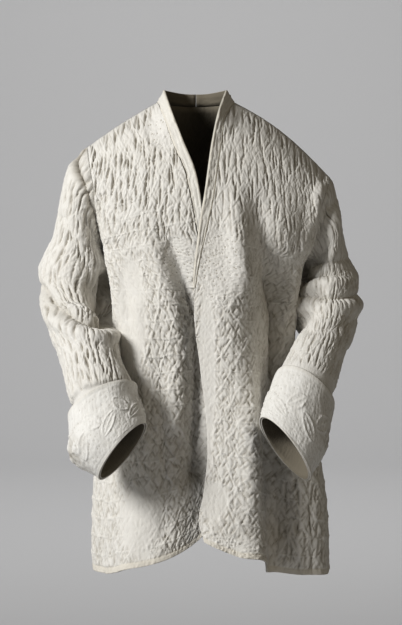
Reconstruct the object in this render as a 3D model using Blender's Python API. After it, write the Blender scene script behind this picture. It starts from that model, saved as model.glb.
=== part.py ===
"""A quilted dressing jacket with a wrapped front, worn form, hollow and open.

Metres, +Z up, the front faces -Y. The origin is at the base of the neck, between the two shoulder seams.
The tables are in millimetres. Every piece of cloth is a wall with a plain inside, and the raised cords of
its quilting are in the points of its outside.
"""

import bpy
import numpy as np

MM = 0.001

# Cloth, in millimetres
WALL = 2.0
CORD = 1.7
BAND_WALL = 2.6
CUFF_WALL = 2.4
SEAM_GAP = 0.35
CELL = 29.0
ROWS = 27
END_ROOM = 0.42
RING_CELLS = 14
ROW_SPACING = 25.5

# Body, in millimetres. Down is 0 at the shoulder seam and 1 at the hem, and the rows of cloth are level
# from LEVEL_DOWN on.
LEVEL_DOWN = 0.45
LEVEL_Z = -330.0
HEM_Z = -774.0
NECK_X = 62.0
NECK_Y = 6.0
NECK_Z = -2.0
NECK_DIP = 6.0
BACK_HEM_RISE = 42.0
FRONT_HEM_LIFT = 16.0
FRONT_HEM_SHARE = 0.4
SQUARE = 2.5
DENSE = 241
NUDGE = 0.004

# How much narrower an armhole is at its lower end than an ellipse
EGG = 0.45
EGG_SECTIONS = 3.0


def columns(names, *rows):
    """A table as a dict with an array for each named column."""
    return dict(zip(names.split(), np.array(rows, float).T))


# The shoulder tip and the lower end of each armhole, the row that the armhole ends at, how far the armhole
# reaches to the front and back, how far the shoulder line bows up, and how far the hem rises to the front
SIDES = {
    -1: {
        "tip": (-178.0, -76.0),
        "pit_x": -153.0,
        "pit_row": 7,
        "reach": 62.0,
        "bow": 3.0,
        "rise": 76.0,
        "turn": 2.6,
    },
    1: {
        "tip": (220.0, -126.0),
        "pit_x": 175.0,
        "pit_row": 8,
        "reach": 63.0,
        "bow": 13.0,
        "rise": 52.0,
        "turn": 1.9,
    },
}

# The front edge of each front, under its band and below it
EDGES = {
    -1: columns(
        "down x y",
        (0.00, -62, 6),
        (0.025, -54, -36),
        (0.09, -37, -72),
        (0.155, -17, -91),
        (0.205, -9, -99),
        (0.29, 2, -105),
        (0.36, 14, -106),
        (0.45, 28, -110),
        (0.59, 40, -116),
        (0.745, 44, -128),
        (0.90, 41, -142),
        (1.00, 34, -151),
    ),
    1: columns(
        "down x y",
        (0.00, 62, 6),
        (0.025, 51, -37),
        (0.09, 42, -75),
        (0.155, 35, -97),
        (0.205, 30, -108),
        (0.29, 17, -120),
        (0.36, 6, -125),
        (0.45, -2, -127),
        (0.59, 7, -131),
        (0.70, 16, -138),
        (0.80, 19, -145),
        (0.90, 11, -154),
        (0.95, 5, -159),
        (1.00, 15, -164),
    ),
}

# The side seams below the armholes
SIDE_SEAMS = {
    -1: columns(
        "down x",
        (0.2593, -153),
        (0.285, -146),
        (0.33, -137),
        (0.45, -128),
        (0.52, -129),
        (0.60, -139),
        (0.745, -160),
        (0.90, -167),
        (1.00, -169),
    ),
    1: columns(
        "down x",
        (0.2963, 175),
        (0.32, 168),
        (0.36, 160),
        (0.45, 153),
        (0.52, 152),
        (0.60, 164),
        (0.745, 197),
        (0.90, 214),
        (1.00, 218),
    ),
}

# How far back the middle of the back is, and how round the rows are
BACK = columns(
    "down y",
    (0.00, 62),
    (0.025, 79),
    (0.09, 99),
    (0.155, 108),
    (0.205, 112),
    (0.29, 114),
    (0.45, 106),
    (0.59, 110),
    (0.745, 122),
    (0.90, 136),
    (1.00, 146),
)
ROUNDNESS = columns(
    "down round",
    (0.00, 0.00),
    (0.025, 0.28),
    (0.09, 0.55),
    (0.155, 0.75),
    (0.24, 1.00),
    (0.40, 1.00),
    (1.00, 1.00),
)

# The large folds: down to where they start, are full, fade and are gone, their place across from the front
# edge or, on the back, from the left seam, their reach to each side, and their lift. 9 is past the hem
FOLD_NAMES = "start full fade gone at_top at_hem reach_in reach_out lift lift_hem"
FOLDS = {
    -1: columns(
        FOLD_NAMES,
        (0.30, 0.50, 8, 9, 0.07, 0.11, 0.13, 0.15, -15, -21),
        (0.28, 0.50, 8, 9, 0.52, 0.47, 0.18, 0.17, 11, 16),
        (0.50, 0.72, 8, 9, 0.80, 0.78, 0.07, 0.08, -6, -9),
        (0.21, 0.36, 0.44, 0.64, 0.79, 0.68, 0.12, 0.11, 20, 20),
    ),
    1: columns(
        FOLD_NAMES,
        (0.26, 0.48, 8, 9, 0.23, 0.20, 0.17, 0.10, 15, 21),
        (0.26, 0.48, 8, 9, 0.44, 0.46, 0.09, 0.15, -15, -22),
        (0.55, 0.80, 8, 9, 0.76, 0.72, 0.11, 0.13, 8, 14),
        (0.26, 0.38, 0.48, 0.66, 0.81, 0.70, 0.12, 0.11, 24, 24),
    ),
    0: columns(
        FOLD_NAMES,
        (0.36, 0.70, 8, 9, 0.17, 0.17, 0.06, 0.06, 6, 12),
        (0.30, 0.65, 8, 9, 0.37, 0.36, 0.06, 0.07, 8, 15),
        (0.36, 0.70, 8, 9, 0.50, 0.50, 0.05, 0.05, -6, -10),
        (0.30, 0.65, 8, 9, 0.62, 0.63, 0.07, 0.06, 8, 14),
        (0.36, 0.70, 8, 9, 0.83, 0.83, 0.06, 0.06, 6, 11),
    ),
}

# Sleeve sections from armhole to lower edge: their outer and inner points as seen from the front, how far
# forward the middle is, and their half depth. The first section is the armhole
SECTION_NAMES = "x_outer z_outer x_inner z_inner y depth"
SLEEVES = {
    -1: columns(
        SECTION_NAMES,
        (-178, -76, -153, -224, 0, 62),
        (-201, -100, -160, -233, 1, 60),
        (-211, -126, -161, -243, 3, 58),
        (-222, -178, -156, -256, 6, 56),
        (-231, -222, -147, -272, 9, 57),
        (-246, -252, -148, -290, 10, 58),
        (-255, -279, -149, -307, 7, 59),
        (-257, -303, -148, -324, -1, 62),
        (-250, -326, -143, -346, -22, 63),
        (-240, -349, -140, -370, -50, 53),
        (-227, -390, -135, -399, -82, 50),
        (-212, -429, -126, -425, -112, 48),
        (-201, -467, -112, -447, -138, 46),
        (-192, -493, -105, -464, -151, 45),
        (-186, -534, -95, -486, -168, 45),
        (-171, -571, -89, -500, -180, 45),
        (-149, -599, -85, -513, -188, 45),
    ),
    1: columns(
        SECTION_NAMES,
        (220, -126, 175, -263, 0, 63),
        (229, -162, 184, -270, 1, 60),
        (233, -197, 186, -279, 4, 58),
        (243, -234, 182, -290, 7, 57),
        (258, -275, 176, -303, 9, 58),
        (267, -310, 170, -321, 4, 60),
        (266, -341, 169, -344, -16, 60),
        (255, -380, 177, -373, -52, 52),
        (240, -412, 164, -395, -86, 48),
        (226, -445, 147, -424, -118, 46),
        (216, -478, 131, -452, -145, 45),
        (206, -519, 120, -476, -165, 45),
        (193, -565, 112, -494, -180, 45),
        (176, -601, 109, -504, -189, 45),
    ),
}

# Rolls of cloth round the sleeves at the elbow: the section that each is at, its reach along, the part of
# the way round that it fills, and its lift
ROLL_NAMES = "at reach angle spread lift"
ROLLS = {
    -1: columns(
        ROLL_NAMES,
        (7.9, 0.7, 100, 80, 7),
        (9.1, 0.6, 100, 75, -7),
        (5.6, 0.7, 60, 45, 3),
        (2.2, 0.95, 128, 36, -8),
        (7.0, 1.2, 130, 28, -16),
    ),
    1: columns(
        ROLL_NAMES,
        (4.7, 0.6, 110, 70, -5),
        (5.9, 0.6, 120, 75, 6),
        (7.1, 0.6, 130, 70, -5),
        (3.4, 0.6, 70, 60, -4),
        (2.0, 0.95, 122, 38, -15),
        (4.5, 0.85, 136, 38, -22),
    ),
}

# Cuffs: the section that the free upper edge is at on the front, how far it slants down to the outer side,
# and how far the cuff stands off the sleeve at the lower edge, half way and at the free edge, on the outer
# and on the inner side
CUFFS = {
    -1: {"free": 13.0, "slant": 0.35, "stand_outer": (0.5, 12.0, 6.0), "stand_inner": (0.5, 3.5, 4.5)},
    1: {"free": 9.9, "slant": 0.35, "stand_outer": (0.5, 4.0, 2.0), "stand_inner": (0.5, 3.0, 2.5)},
}
CUFF_ROWS = 5

# Bands: from the seam to the free edge, down the front from the neck
BANDS = {
    -1: columns(
        "down x y z",
        (0.00, 12, 0, 21),
        (0.025, 12, -3, 16),
        (0.09, 16, -4, 8),
        (0.155, 16.5, -4, 5),
        (0.25, 16.5, -2, 3),
        (0.33, 15, -1, 1),
        (0.40, 12, -1, 0),
    ),
    1: columns(
        "down x y z",
        (0.00, -14, 0, 21),
        (0.025, -12, -3, 16),
        (0.09, -16, -5, 8),
        (0.155, -16.5, -4, 5),
        (0.25, -16, -3, 3),
        (0.33, -11, -1, 1),
        (0.42, -5, 0, 0),
    ),
}
BACK_BAND = (0.0, -5.0, 21.0)
BAND_ROWS = 11
NECK_STEPS = 4


def smooth(knots, values, at):
    """Values at places between the knots, on a smooth curve through all the values."""
    slopes = np.gradient(values, knots)
    k = np.clip(np.searchsorted(knots, at, side="right") - 1, 0, len(knots) - 2)
    span = knots[k + 1] - knots[k]
    s = np.clip((at - knots[k]) / span, 0, 1)
    start = values[k] * (1 + 2 * s) + slopes[k] * span * s
    end = values[k + 1] * (3 - 2 * s) - slopes[k + 1] * span * (1 - s)
    return start * (1 - s) ** 2 + end * s * s


def column(table, name, at, along="down"):
    return smooth(table[along], table[name], np.asarray(at, float))


def eased(x):
    x = np.clip(x, 0, 1)
    return x * x * (3 - 2 * x)


def unit(v):
    return v / np.maximum(np.linalg.norm(v, axis=-1, keepdims=True), 1e-12)


def pit_down(side):
    return SIDES[side]["pit_row"] / ROWS


def seam_x(side, down):
    """How far out a row ends: on the straight armhole, then on the side seam."""
    pit = pit_down(side)
    tip = SIDES[side]["tip"][0]
    if down < pit:
        return tip + (SIDES[side]["pit_x"] - tip) * down / pit
    return float(column(SIDE_SEAMS[side], "x", down))


def armhole_reach(side, down):
    """How far an armhole reaches to the front and back on a row."""
    share = min(down / pit_down(side), 1)
    return SIDES[side]["reach"] * 2 * (share * (1 - share)) ** 0.5 * (1 - EGG * eased(share))


def between_levels(top, hem, down):
    """Heights of a row that goes from the shoulder line through the level row to the hem."""
    if down < LEVEL_DOWN:
        return top + (LEVEL_Z - top) * down / LEVEL_DOWN
    return LEVEL_Z + (hem - LEVEL_Z) * (down - LEVEL_DOWN) / (1 - LEVEL_DOWN)


def fold_lift(table, across, down):
    """How far the large folds move the cloth out."""
    total = np.zeros_like(across)
    for start, full, fade, gone, at_top, at_hem, reach_in, reach_out, lift, lift_hem in zip(*table.values()):
        way = np.clip((down - start) / (1 - start), 0, 1)
        place = at_top + (at_hem - at_top) * way
        reach = np.where(across < place, reach_in, reach_out)
        height = (lift + (lift_hem - lift) * way) * eased((down - start) / (full - start))
        height *= 1 - eased((down - fade) / (gone - fade))
        total += height * np.exp(-(((across - place) / reach) ** 2))
    return total


def lifted(points, lifts, turn):
    """A row of points moved out level, at a right angle to the row."""
    along = np.gradient(points, axis=0)
    out = unit(np.stack([along[:, 1], -along[:, 0], np.zeros(len(points))], axis=1)) * turn
    return points + out * lifts[:, None]


def spaced(points, across):
    """Points at shares of the length of a row."""
    steps = np.linalg.norm(np.diff(points, axis=0), axis=1)
    length = np.concatenate([[0], np.cumsum(steps)])
    return np.stack([np.interp(across, length / length[-1], points[:, k]) for k in range(3)], axis=1)


def front_row(side, down, across):
    """Points of a front on one row, from the front edge to the seam at the side."""
    q = np.linspace(0, 1, DENSE)
    rounded = float(column(ROUNDNESS, "round", down))
    x_in = float(column(EDGES[side], "x", down))
    y_in = float(column(EDGES[side], "y", down))
    x_out = seam_x(side, down)
    y_out = -armhole_reach(side, down)
    share = np.minimum(rounded * np.sin(q * np.pi / 2) ** (2 / SQUARE) + (1 - rounded) * q, 1)
    depth = rounded * np.cos(q * np.pi / 2) ** (2 / SQUARE) + (1 - rounded) * (1 - q)
    tip_z = SIDES[side]["tip"][1]
    top = NECK_Z + (tip_z - NECK_Z) * share + SIDES[side]["bow"] * np.sin(np.pi * share)
    hem = HEM_Z + FRONT_HEM_LIFT * eased((1 - share) / FRONT_HEM_SHARE)
    hem = hem + SIDES[side]["rise"] * (1 - share) ** SIDES[side]["turn"]
    row = np.stack(
        [
            x_in + (x_out - x_in) * share,
            y_out + (y_in - y_out) * depth,
            between_levels(top, hem, down),
        ],
        axis=1,
    )
    even = spaced(row, q)
    lifts = fold_lift(FOLDS[side], q, down) * (1 - q**6)
    return spaced(lifted(even, lifts, side), across)


def back_row(down, across):
    """Points of the back on one row, from the left seam to the right seam."""
    q = np.linspace(0, 1, DENSE)
    turn = (q - 0.5) * np.pi
    rounded = float(column(ROUNDNESS, "round", down))
    left, right = seam_x(-1, down), seam_x(1, down)
    middle = (left + right) / 2
    bent = np.sign(turn) * np.abs(np.sin(turn)) ** (2 / SQUARE)
    x = rounded * (middle + (right - left) / 2 * bent) + (1 - rounded) * (left + (right - left) * q)
    reach = armhole_reach(-1, down) * (1 - q) + armhole_reach(1, down) * q
    neck = np.where(np.abs(x) < NECK_X, np.cos(np.clip(x / NECK_X, -1, 1) * np.pi / 2), 0) ** 0.8
    profile = rounded * np.cos(turn) ** (2 / SQUARE) + (1 - rounded) * neck
    behind = float(column(BACK, "y", down))
    top = np.full(DENSE, NECK_Z) - NECK_DIP * neck
    on_neck = np.ones(DENSE)
    for side, end in ((-1, left), (1, right)):
        share = np.clip((x - side * NECK_X) / (end - side * NECK_X), 0, 1)
        top += (SIDES[side]["tip"][1] - NECK_Z) * share + SIDES[side]["bow"] * np.sin(np.pi * share)
        on_neck -= share
    side_y = reach + NECK_Y * (1 - rounded) * on_neck
    y = side_y + (behind - side_y) * profile
    hem = HEM_Z + BACK_HEM_RISE * np.cos(turn) ** 2
    row = np.stack([x, y, between_levels(top, hem, down)], axis=1)
    even = spaced(row, q)
    lifts = fold_lift(FOLDS[0], q, down) * (1 - np.abs(2 * q - 1) ** 6)
    return spaced(lifted(even, lifts, -1), across)


def sections(side):
    """The sleeve's table, with the armhole itself as its first section."""
    table = {name: values.copy() for name, values in SLEEVES[side].items()}
    tip, pit = armhole_ends(side)
    first = (tip[0], tip[2], pit[0], pit[2], 0.0, SIDES[side]["reach"])
    for name, value in zip(table, first):
        table[name][0] = value
    table["at"] = np.arange(len(table["y"]), dtype=float)
    return table


def section_frame(table, at):
    """The middle of a sleeve section, its half width to the outer side, and its direction to the front."""
    x_outer, z_outer, x_inner, z_inner, y, depth = (
        float(column(table, name, at, "at")) for name in SECTION_NAMES.split()
    )
    middle = np.array([(x_outer + x_inner) / 2, y, (z_outer + z_inner) / 2])
    half = np.array([(x_outer - x_inner) / 2, 0.0, (z_outer - z_inner) / 2])
    return middle, half, depth


def sleeve_ring(side, at, angles):
    """Points round a sleeve at one section, from the outer side over the front."""
    table = sections(side)
    middle, half, depth = section_frame(table, at)
    last = table["at"][-1]
    before = section_frame(table, max(at - 0.4, 0))[0]
    after = section_frame(table, min(at + 0.4, last))[0]
    front = unit(np.cross(after - before, half))
    front = -front if front[1] > 0 else front
    front = unit(front + np.array([0, -1.0, 0]) * (1 - eased(at)) * 50)
    lift = np.zeros_like(angles)
    for roll_at, reach, angle, spread, height in zip(*ROLLS[side].values()):
        around = (np.degrees(angles) - angle + 180) % 360 - 180
        lift += height * np.exp(-(((at - roll_at) / reach) ** 2) - (around / spread) ** 2)
    out = unit(half) * np.cos(angles)[:, None] + front * np.sin(angles)[:, None]
    narrow = 1 - EGG * eased((1 - np.cos(angles)) / 2) * (1 - eased(at / EGG_SECTIONS))
    to_front = depth * np.sin(angles) * narrow
    return middle + half * np.cos(angles)[:, None] + front * to_front[:, None] + out * lift[:, None]


def armhole_ends(side):
    """The shoulder tip and the lower end of an armhole."""
    tip_x, tip_z = SIDES[side]["tip"]
    pit_z = between_levels(tip_z, HEM_Z, pit_down(side))
    return np.array([tip_x, 0, tip_z]), np.array([SIDES[side]["pit_x"], 0, pit_z])


def armhole_out(side, points):
    """Directions from the middle of an armhole, which both sides of its seam stand along."""
    tip, pit = armhole_ends(side)
    return unit(points - (tip + pit) / 2)


def armhole_axis(side):
    """The direction out of the body at a right angle to an armhole."""
    tip, pit = armhole_ends(side)
    slope = unit(tip - pit)
    return side * np.array([slope[2], 0, -slope[0]])


def inside_armhole(side, point, way):
    """A point of the body moved back where the outside of its cloth would pass the armhole."""
    axis = armhole_axis(side)
    past = (point + way * (WALL + CORD) - armhole_ends(side)[0]) @ axis
    return point - axis * max(past, 0)


def neck_out(point):
    """The direction that both sides of the neck seam stand along, out from the neck and up."""
    level = unit(np.array([point[0], point[1] - 20.0, 0]))
    return unit(level * 0.8 + np.array([0, 0, 0.6]))


class Cloth:
    """A wall of cloth: inner points, the way out at each, how far out, and triangles between them."""

    def __init__(self, wall):
        self.wall = wall
        self.inner = []
        self.out = []
        self.height = []
        self.quilted = []
        self.triangles = []

    def add(self, point, out, height, quilted=False):
        self.inner.append(np.asarray(point, float))
        self.out.append(unit(np.asarray(out, float)))
        self.height.append(height)
        self.quilted.append(quilted)
        return len(self.inner) - 1

    def join(self, first, second):
        """Triangles between two rows of (number, place along)."""
        i = j = 0
        while i < len(first) - 1 or j < len(second) - 1:
            step = j == len(second) - 1
            if not step and i < len(first) - 1:
                step = first[i][1] + first[i + 1][1] <= second[j][1] + second[j + 1][1]
            if step:
                self.triangles.append((first[i][0], first[i + 1][0], second[j][0]))
                i += 1
            else:
                self.triangles.append((first[i][0], second[j + 1][0], second[j][0]))
                j += 1

    def make(self, name, material, collection):
        inner, out = np.array(self.inner), np.array(self.out)
        outer = inner + out * np.array(self.height)[:, None]
        corners = np.array(self.triangles)
        a, b, c = (inner[corners[:, k]] for k in range(3))
        facing = np.einsum("ij,ij->i", np.cross(b - a, c - a), out[corners[:, 0]])
        if facing.sum() < 0:
            corners = corners[:, ::-1]
        count = len(inner)
        points = list(outer) + list(inner)
        faces = []
        for i, j, k in corners.tolist():
            faces.append((k + count, j + count, i + count))
            if self.quilted[i] and self.quilted[j] and self.quilted[k]:
                middle = inner[[i, j, k]].mean(axis=0) + unit(out[[i, j, k]].sum(axis=0)) * self.wall
                points.append(middle)
                last = len(points) - 1
                faces += [(i, j, last), (j, k, last), (k, i, last)]
            else:
                faces.append((i, j, k))
        edges = {(i, j) for t in corners.tolist() for i, j in zip(t, t[1:] + t[:1])}
        for i, j in sorted(edges):
            if (j, i) not in edges:
                if inner[i][2] < inner[j][2]:
                    faces += [(j, i, i + count), (j, i + count, j + count)]
                else:
                    faces += [(j, i, j + count), (i, i + count, j + count)]
        mesh = bpy.data.meshes.new(name)
        mesh.from_pydata([tuple(p * MM) for p in points], [], faces)
        mesh.materials.append(material)
        piece = bpy.data.objects.new(name, mesh)
        collection.objects.link(piece)
        return piece


def outward(point_at, across, down, turn):
    """The way out of a surface that is given by rows, at places along one row."""
    step = min(max(down, NUDGE), 1 - NUDGE)
    back = np.clip(across - NUDGE, 0, 1)
    forth = np.clip(across + NUDGE, 0, 1)
    along = point_at(down, forth) - point_at(down, back)
    below = point_at(step + NUDGE, across) - point_at(step - NUDGE, across)
    return unit(np.cross(below, along)) * turn


def lattice_places(length, start, shifted):
    """Shares of a row's length where its cords cross, with both ends."""
    first = np.ceil((start + END_ROOM * CELL) / CELL - shifted) + shifted
    places = first * CELL - start + np.arange(0, 60) * CELL
    inside = places[(places > END_ROOM * CELL) & (places < length - END_ROOM * CELL)]
    return np.concatenate([[0], inside / length, [1]])


def row_length(points):
    return np.linalg.norm(np.diff(points, axis=0), axis=1).sum()


SHOULDER_STEPS = {-1: 5, 1: 7}


def shoulder_out(side):
    return unit(np.array([0.42 * side, 0, 0.9]))


def make_front(side, name, material, collection):
    """A front: rows of cords from the shoulder seam to the hem."""
    cloth = Cloth(WALL)
    rows = []
    for number in range(ROWS + 1):
        down = number / ROWS
        dense = front_row(side, down, np.linspace(0, 1, DENSE))
        if number == 0:
            across = np.linspace(0, 1, SHOULDER_STEPS[side] + 1)
        else:
            across = lattice_places(row_length(dense), abs(dense[0][0]), 0.5 * (number % 2))
        points = front_row(side, down, across)
        out = outward(lambda d, a: front_row(side, d, a), across, down, side)
        row = []
        for k, (point, way) in enumerate(zip(points, out)):
            if k == len(points) - 1:
                point = point - np.array([0, SEAM_GAP / 2, 0])
                in_armhole = number <= SIDES[side]["pit_row"]
                way = armhole_out(side, point) if in_armhole else np.array([side, 0, 0])
            elif number == 0:
                point = point - np.array([0, SEAM_GAP / 2, 0])
                way = neck_out(point) if k == 0 else shoulder_out(side)
            elif k == 0:
                share = eased(down / 0.1)
                way = neck_out(point) * (1 - share) + way * share
            elif number <= SIDES[side]["pit_row"]:
                point = inside_armhole(side, point, way)
            row.append((cloth.add(point, way, WALL + CORD, True), across[k]))
        rows.append(row)
    for first, second in zip(rows, rows[1:]):
        cloth.join(first, second)
    return cloth.make(name, material, collection)


def make_back(name, material, collection):
    """The back: rows of cords from the shoulder seams and the neck to the hem."""
    cloth = Cloth(WALL)
    rows = []
    gap = np.array([0, SEAM_GAP / 2, 0])
    for number in range(ROWS + 1):
        down = number / ROWS
        q = np.linspace(0, 1, DENSE)
        dense = back_row(down, q)
        if number == 0:
            left = front_row(-1, 0, np.linspace(1, 0, SHOULDER_STEPS[-1] + 1))
            right = front_row(1, 0, np.linspace(0, 1, SHOULDER_STEPS[1] + 1))
            neck_x = np.linspace(-NECK_X, NECK_X, 2 * NECK_STEPS + 1)[1:-1]
            neck = back_row(0, np.interp(neck_x, dense[:, 0], q))
            points = np.concatenate([left, neck, right])
            across = np.interp(points[:, 0], dense[:, 0], q)
        else:
            middle = np.interp(0, dense[:, 0], q) * row_length(dense)
            start = CELL * 40 - middle
            across = lattice_places(row_length(dense), start, 0.5 * (number % 2))
            points = back_row(down, across)
        out = outward(back_row, across, down, -1)
        row = []
        for k, (point, way) in enumerate(zip(points, out)):
            side = -1 if k < len(points) / 2 else 1
            if k in (0, len(points) - 1):
                point = point + gap
                in_armhole = number <= SIDES[side]["pit_row"]
                way = armhole_out(side, point) if in_armhole else np.array([side, 0, 0])
            elif number == 0:
                on_neck = abs(point[0]) < NECK_X + 1
                point = point + gap * (abs(point[0]) > NECK_X - 1)
                way = neck_out(point) if on_neck else shoulder_out(side)
            elif number <= SIDES[side]["pit_row"]:
                point = inside_armhole(side, point, way)
            row.append((cloth.add(point, way, WALL + CORD, True), across[k]))
        rows.append(row)
    for first, second in zip(rows, rows[1:]):
        cloth.join(first, second)
    return cloth.make(name, material, collection)


def ring_out(side, at, angles):
    """The way out of a sleeve at places round one section."""
    last = len(SLEEVES[side]["y"]) - 1.0
    step = 0.05
    low, high = max(at - step, 0), min(at + step, last)
    along = sleeve_ring(side, high, angles) - sleeve_ring(side, low, angles)
    around = sleeve_ring(side, at, angles + step) - sleeve_ring(side, at, angles - step)
    out = unit(np.cross(around, along))
    middle = section_frame(sections(side), at)[0]
    facing = np.einsum("ij,ij->i", out, sleeve_ring(side, at, angles) - middle).sum()
    return out if facing > 0 else -out


def sleeve_places(side, first, last, spacing):
    """Sections that are evenly spaced along a sleeve's middle."""
    table = sections(side)
    fine = np.linspace(first, last, 200)
    middles = np.array([section_frame(table, at)[0] for at in fine])
    length = np.concatenate([[0], np.cumsum(np.linalg.norm(np.diff(middles, axis=0), axis=1))])
    count = max(int(round(length[-1] / spacing)), 1)
    return np.interp(np.linspace(0, length[-1], count + 1), length, fine)


def closed_row(numbers, shift):
    """A ring as a row that ends where it starts, with places along."""
    count = len(numbers)
    return [(numbers[k % count], (k + shift) / count) for k in range(count + 1)]


def make_sleeve(side, name, material, collection):
    """A sleeve: rings of cords from the armhole to the lower edge, plain where the cuff covers it."""
    cloth = Cloth(WALL)
    last = len(SLEEVES[side]["y"]) - 1.0
    free = CUFFS[side]["free"] - CUFFS[side]["slant"]
    above = sleeve_places(side, 0, free - 0.25, ROW_SPACING)
    covered = sleeve_places(side, free - 0.25, last, ROW_SPACING)
    places = np.concatenate([above, covered[1:]])
    rings = []
    for number, at in enumerate(places):
        shift = 0.5 * (number % 2)
        angles = (np.arange(RING_CELLS) + shift) * 2 * np.pi / RING_CELLS
        points = sleeve_ring(side, at, angles)
        out = ring_out(side, at, angles)
        raised = at < free - 0.3
        if number == 0:
            out = armhole_out(side, points)
            points = points + armhole_axis(side) * SEAM_GAP
        height = WALL + CORD if raised else WALL
        rings.append([cloth.add(p, o, height, raised) for p, o in zip(points, out)])
    for number, (first, second) in enumerate(zip(rings, rings[1:])):
        cloth.join(closed_row(first, 0.5 * (number % 2)), closed_row(second, 0.5 * ((number + 1) % 2)))
    return cloth.make(name, material, collection)


def make_cuff(side, name, material, collection):
    """A cuff turned back over the end of a sleeve, made from the sleeve's points moved out."""
    cloth = Cloth(CUFF_WALL)
    last = len(SLEEVES[side]["y"]) - 1.0
    free = CUFFS[side]["free"]
    angles = np.arange(2 * RING_CELLS) * np.pi / RING_CELLS
    to_outer = (1 + np.cos(angles)) / 2
    rings = []
    knots = np.array([0, 0.5, 1.0])
    for way in np.linspace(0, 1, CUFF_ROWS + 1):
        outer = float(smooth(knots, np.array(CUFFS[side]["stand_outer"]), way))
        inner = float(smooth(knots, np.array(CUFFS[side]["stand_inner"]), way))
        ring = []
        for angle, share in zip(angles, to_outer):
            at = last + (free + CUFFS[side]["slant"] * np.cos(angle) - last) * way
            here = np.array([angle])
            out = ring_out(side, at, here)[0]
            stand = WALL + outer * share + inner * (1 - share)
            ring.append(cloth.add(sleeve_ring(side, at, here)[0] + out * stand, out, CUFF_WALL))
        rings.append(ring)
    for first, second in zip(rings, rings[1:]):
        cloth.join(closed_row(first, 0), closed_row(second, 0))
    return cloth.make(name, material, collection)


def make_band(side, name, material, collection):
    """A band from the middle of the back neck, up round the neck and down the front edge."""
    cloth = Cloth(BAND_WALL)
    q = np.linspace(0, 1, DENSE)
    top = back_row(0, q)
    seam, across, out = [], [], []
    for x in np.linspace(side * SEAM_GAP / 2, side * NECK_X, NECK_STEPS + 1)[:-1]:
        point = back_row(0, np.interp([x], top[:, 0], q))[0]
        share = eased(abs(x) / NECK_X)
        free = np.array(BACK_BAND) * (1 - share) + np.array([BANDS[side][n][0] for n in "xyz"]) * share
        seam.append(point)
        across.append(free)
        out.append(neck_out(point))
    for down in np.arange(BAND_ROWS + 1) / ROWS:
        point = front_row(side, down, np.array([0.0]))[0]
        panel = outward(lambda d, a: front_row(side, d, a), np.array([0.0]), down, side)[0]
        share = eased(down / 0.1)
        seam.append(point)
        across.append(np.array([float(column(BANDS[side], n, down)) for n in "xyz"]))
        out.append(unit(neck_out(point) * (1 - share) + panel * share))
    seam, across, out = np.array(seam), np.array(across), np.array(out)
    along = np.gradient(seam + across / 2, axis=0)
    own = unit(np.cross(along, across))
    own *= np.sign(np.einsum("ij,ij->i", own, out))[:, None]
    rows = []
    for k in range(len(seam)):
        row = []
        for share in (0, 0.5, 1):
            gap = unit(across[k]) * SEAM_GAP * (1 - share)
            way = out[k] if share == 0 else own[k]
            row.append((cloth.add(seam[k] + across[k] * share + gap, way, BAND_WALL), share))
        rows.append(row)
    for first, second in zip(rows, rows[1:]):
        cloth.join(first, second)
    return cloth.make(name, material, collection)


def cotton(name, colour, roughness):
    material = bpy.data.materials.new(name)
    material.use_nodes = True
    shader = material.node_tree.nodes["Principled BSDF"]
    shader.inputs["Base Color"].default_value = (*colour, 1)
    shader.inputs["Roughness"].default_value = roughness
    return material


def main():
    for old in list(bpy.data.objects):
        bpy.data.objects.remove(old, do_unlink=True)
    jacket = bpy.data.collections.new("dressing_jacket")
    bpy.context.scene.collection.children.link(jacket)
    quilted = cotton("quilted_cotton", (0.78, 0.74, 0.66), 0.9)
    binding = cotton("band_cotton", (0.76, 0.71, 0.60), 0.9)
    stippled = cotton("cuff_cotton", (0.77, 0.73, 0.65), 0.9)
    make_front(-1, "front_left", quilted, jacket)
    make_front(1, "front_right", quilted, jacket)
    make_back("back", quilted, jacket)
    for side, word in ((-1, "left"), (1, "right")):
        make_sleeve(side, f"sleeve_{word}", quilted, jacket)
        make_cuff(side, f"cuff_{word}", stippled, jacket)
        make_band(side, f"band_{word}", binding, jacket)


main()
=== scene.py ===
import bpy
import numpy as np
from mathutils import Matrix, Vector


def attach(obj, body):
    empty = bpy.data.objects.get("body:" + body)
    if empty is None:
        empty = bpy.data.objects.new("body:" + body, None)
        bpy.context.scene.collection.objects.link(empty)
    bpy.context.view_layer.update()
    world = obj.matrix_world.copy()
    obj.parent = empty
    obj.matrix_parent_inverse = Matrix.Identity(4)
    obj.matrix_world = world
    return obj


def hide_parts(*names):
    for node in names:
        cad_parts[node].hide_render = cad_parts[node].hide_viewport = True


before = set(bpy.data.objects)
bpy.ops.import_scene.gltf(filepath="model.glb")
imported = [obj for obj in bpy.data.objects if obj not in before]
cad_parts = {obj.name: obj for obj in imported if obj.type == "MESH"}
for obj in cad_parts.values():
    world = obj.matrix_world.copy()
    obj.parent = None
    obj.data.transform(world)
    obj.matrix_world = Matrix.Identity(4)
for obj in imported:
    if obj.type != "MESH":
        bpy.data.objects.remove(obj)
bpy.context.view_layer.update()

# The finished look of a quilted dressing jacket. Tables and surfaces are in millimetres, in the frame's axes:
# +Z up, the front faces -Y, -1 is the side on the left as seen from the front. Meshes are in metres.
MM = 0.001

# Cloth
WALL = 2.0
BAND_WALL = 2.6
CUFF_WALL = 2.4
SEAM_GAP = 0.35
CELL = 29.0
ROWS = 27
RING_CELLS = 14
ROW_SPACING = 25.5
COARSE = 4

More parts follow.
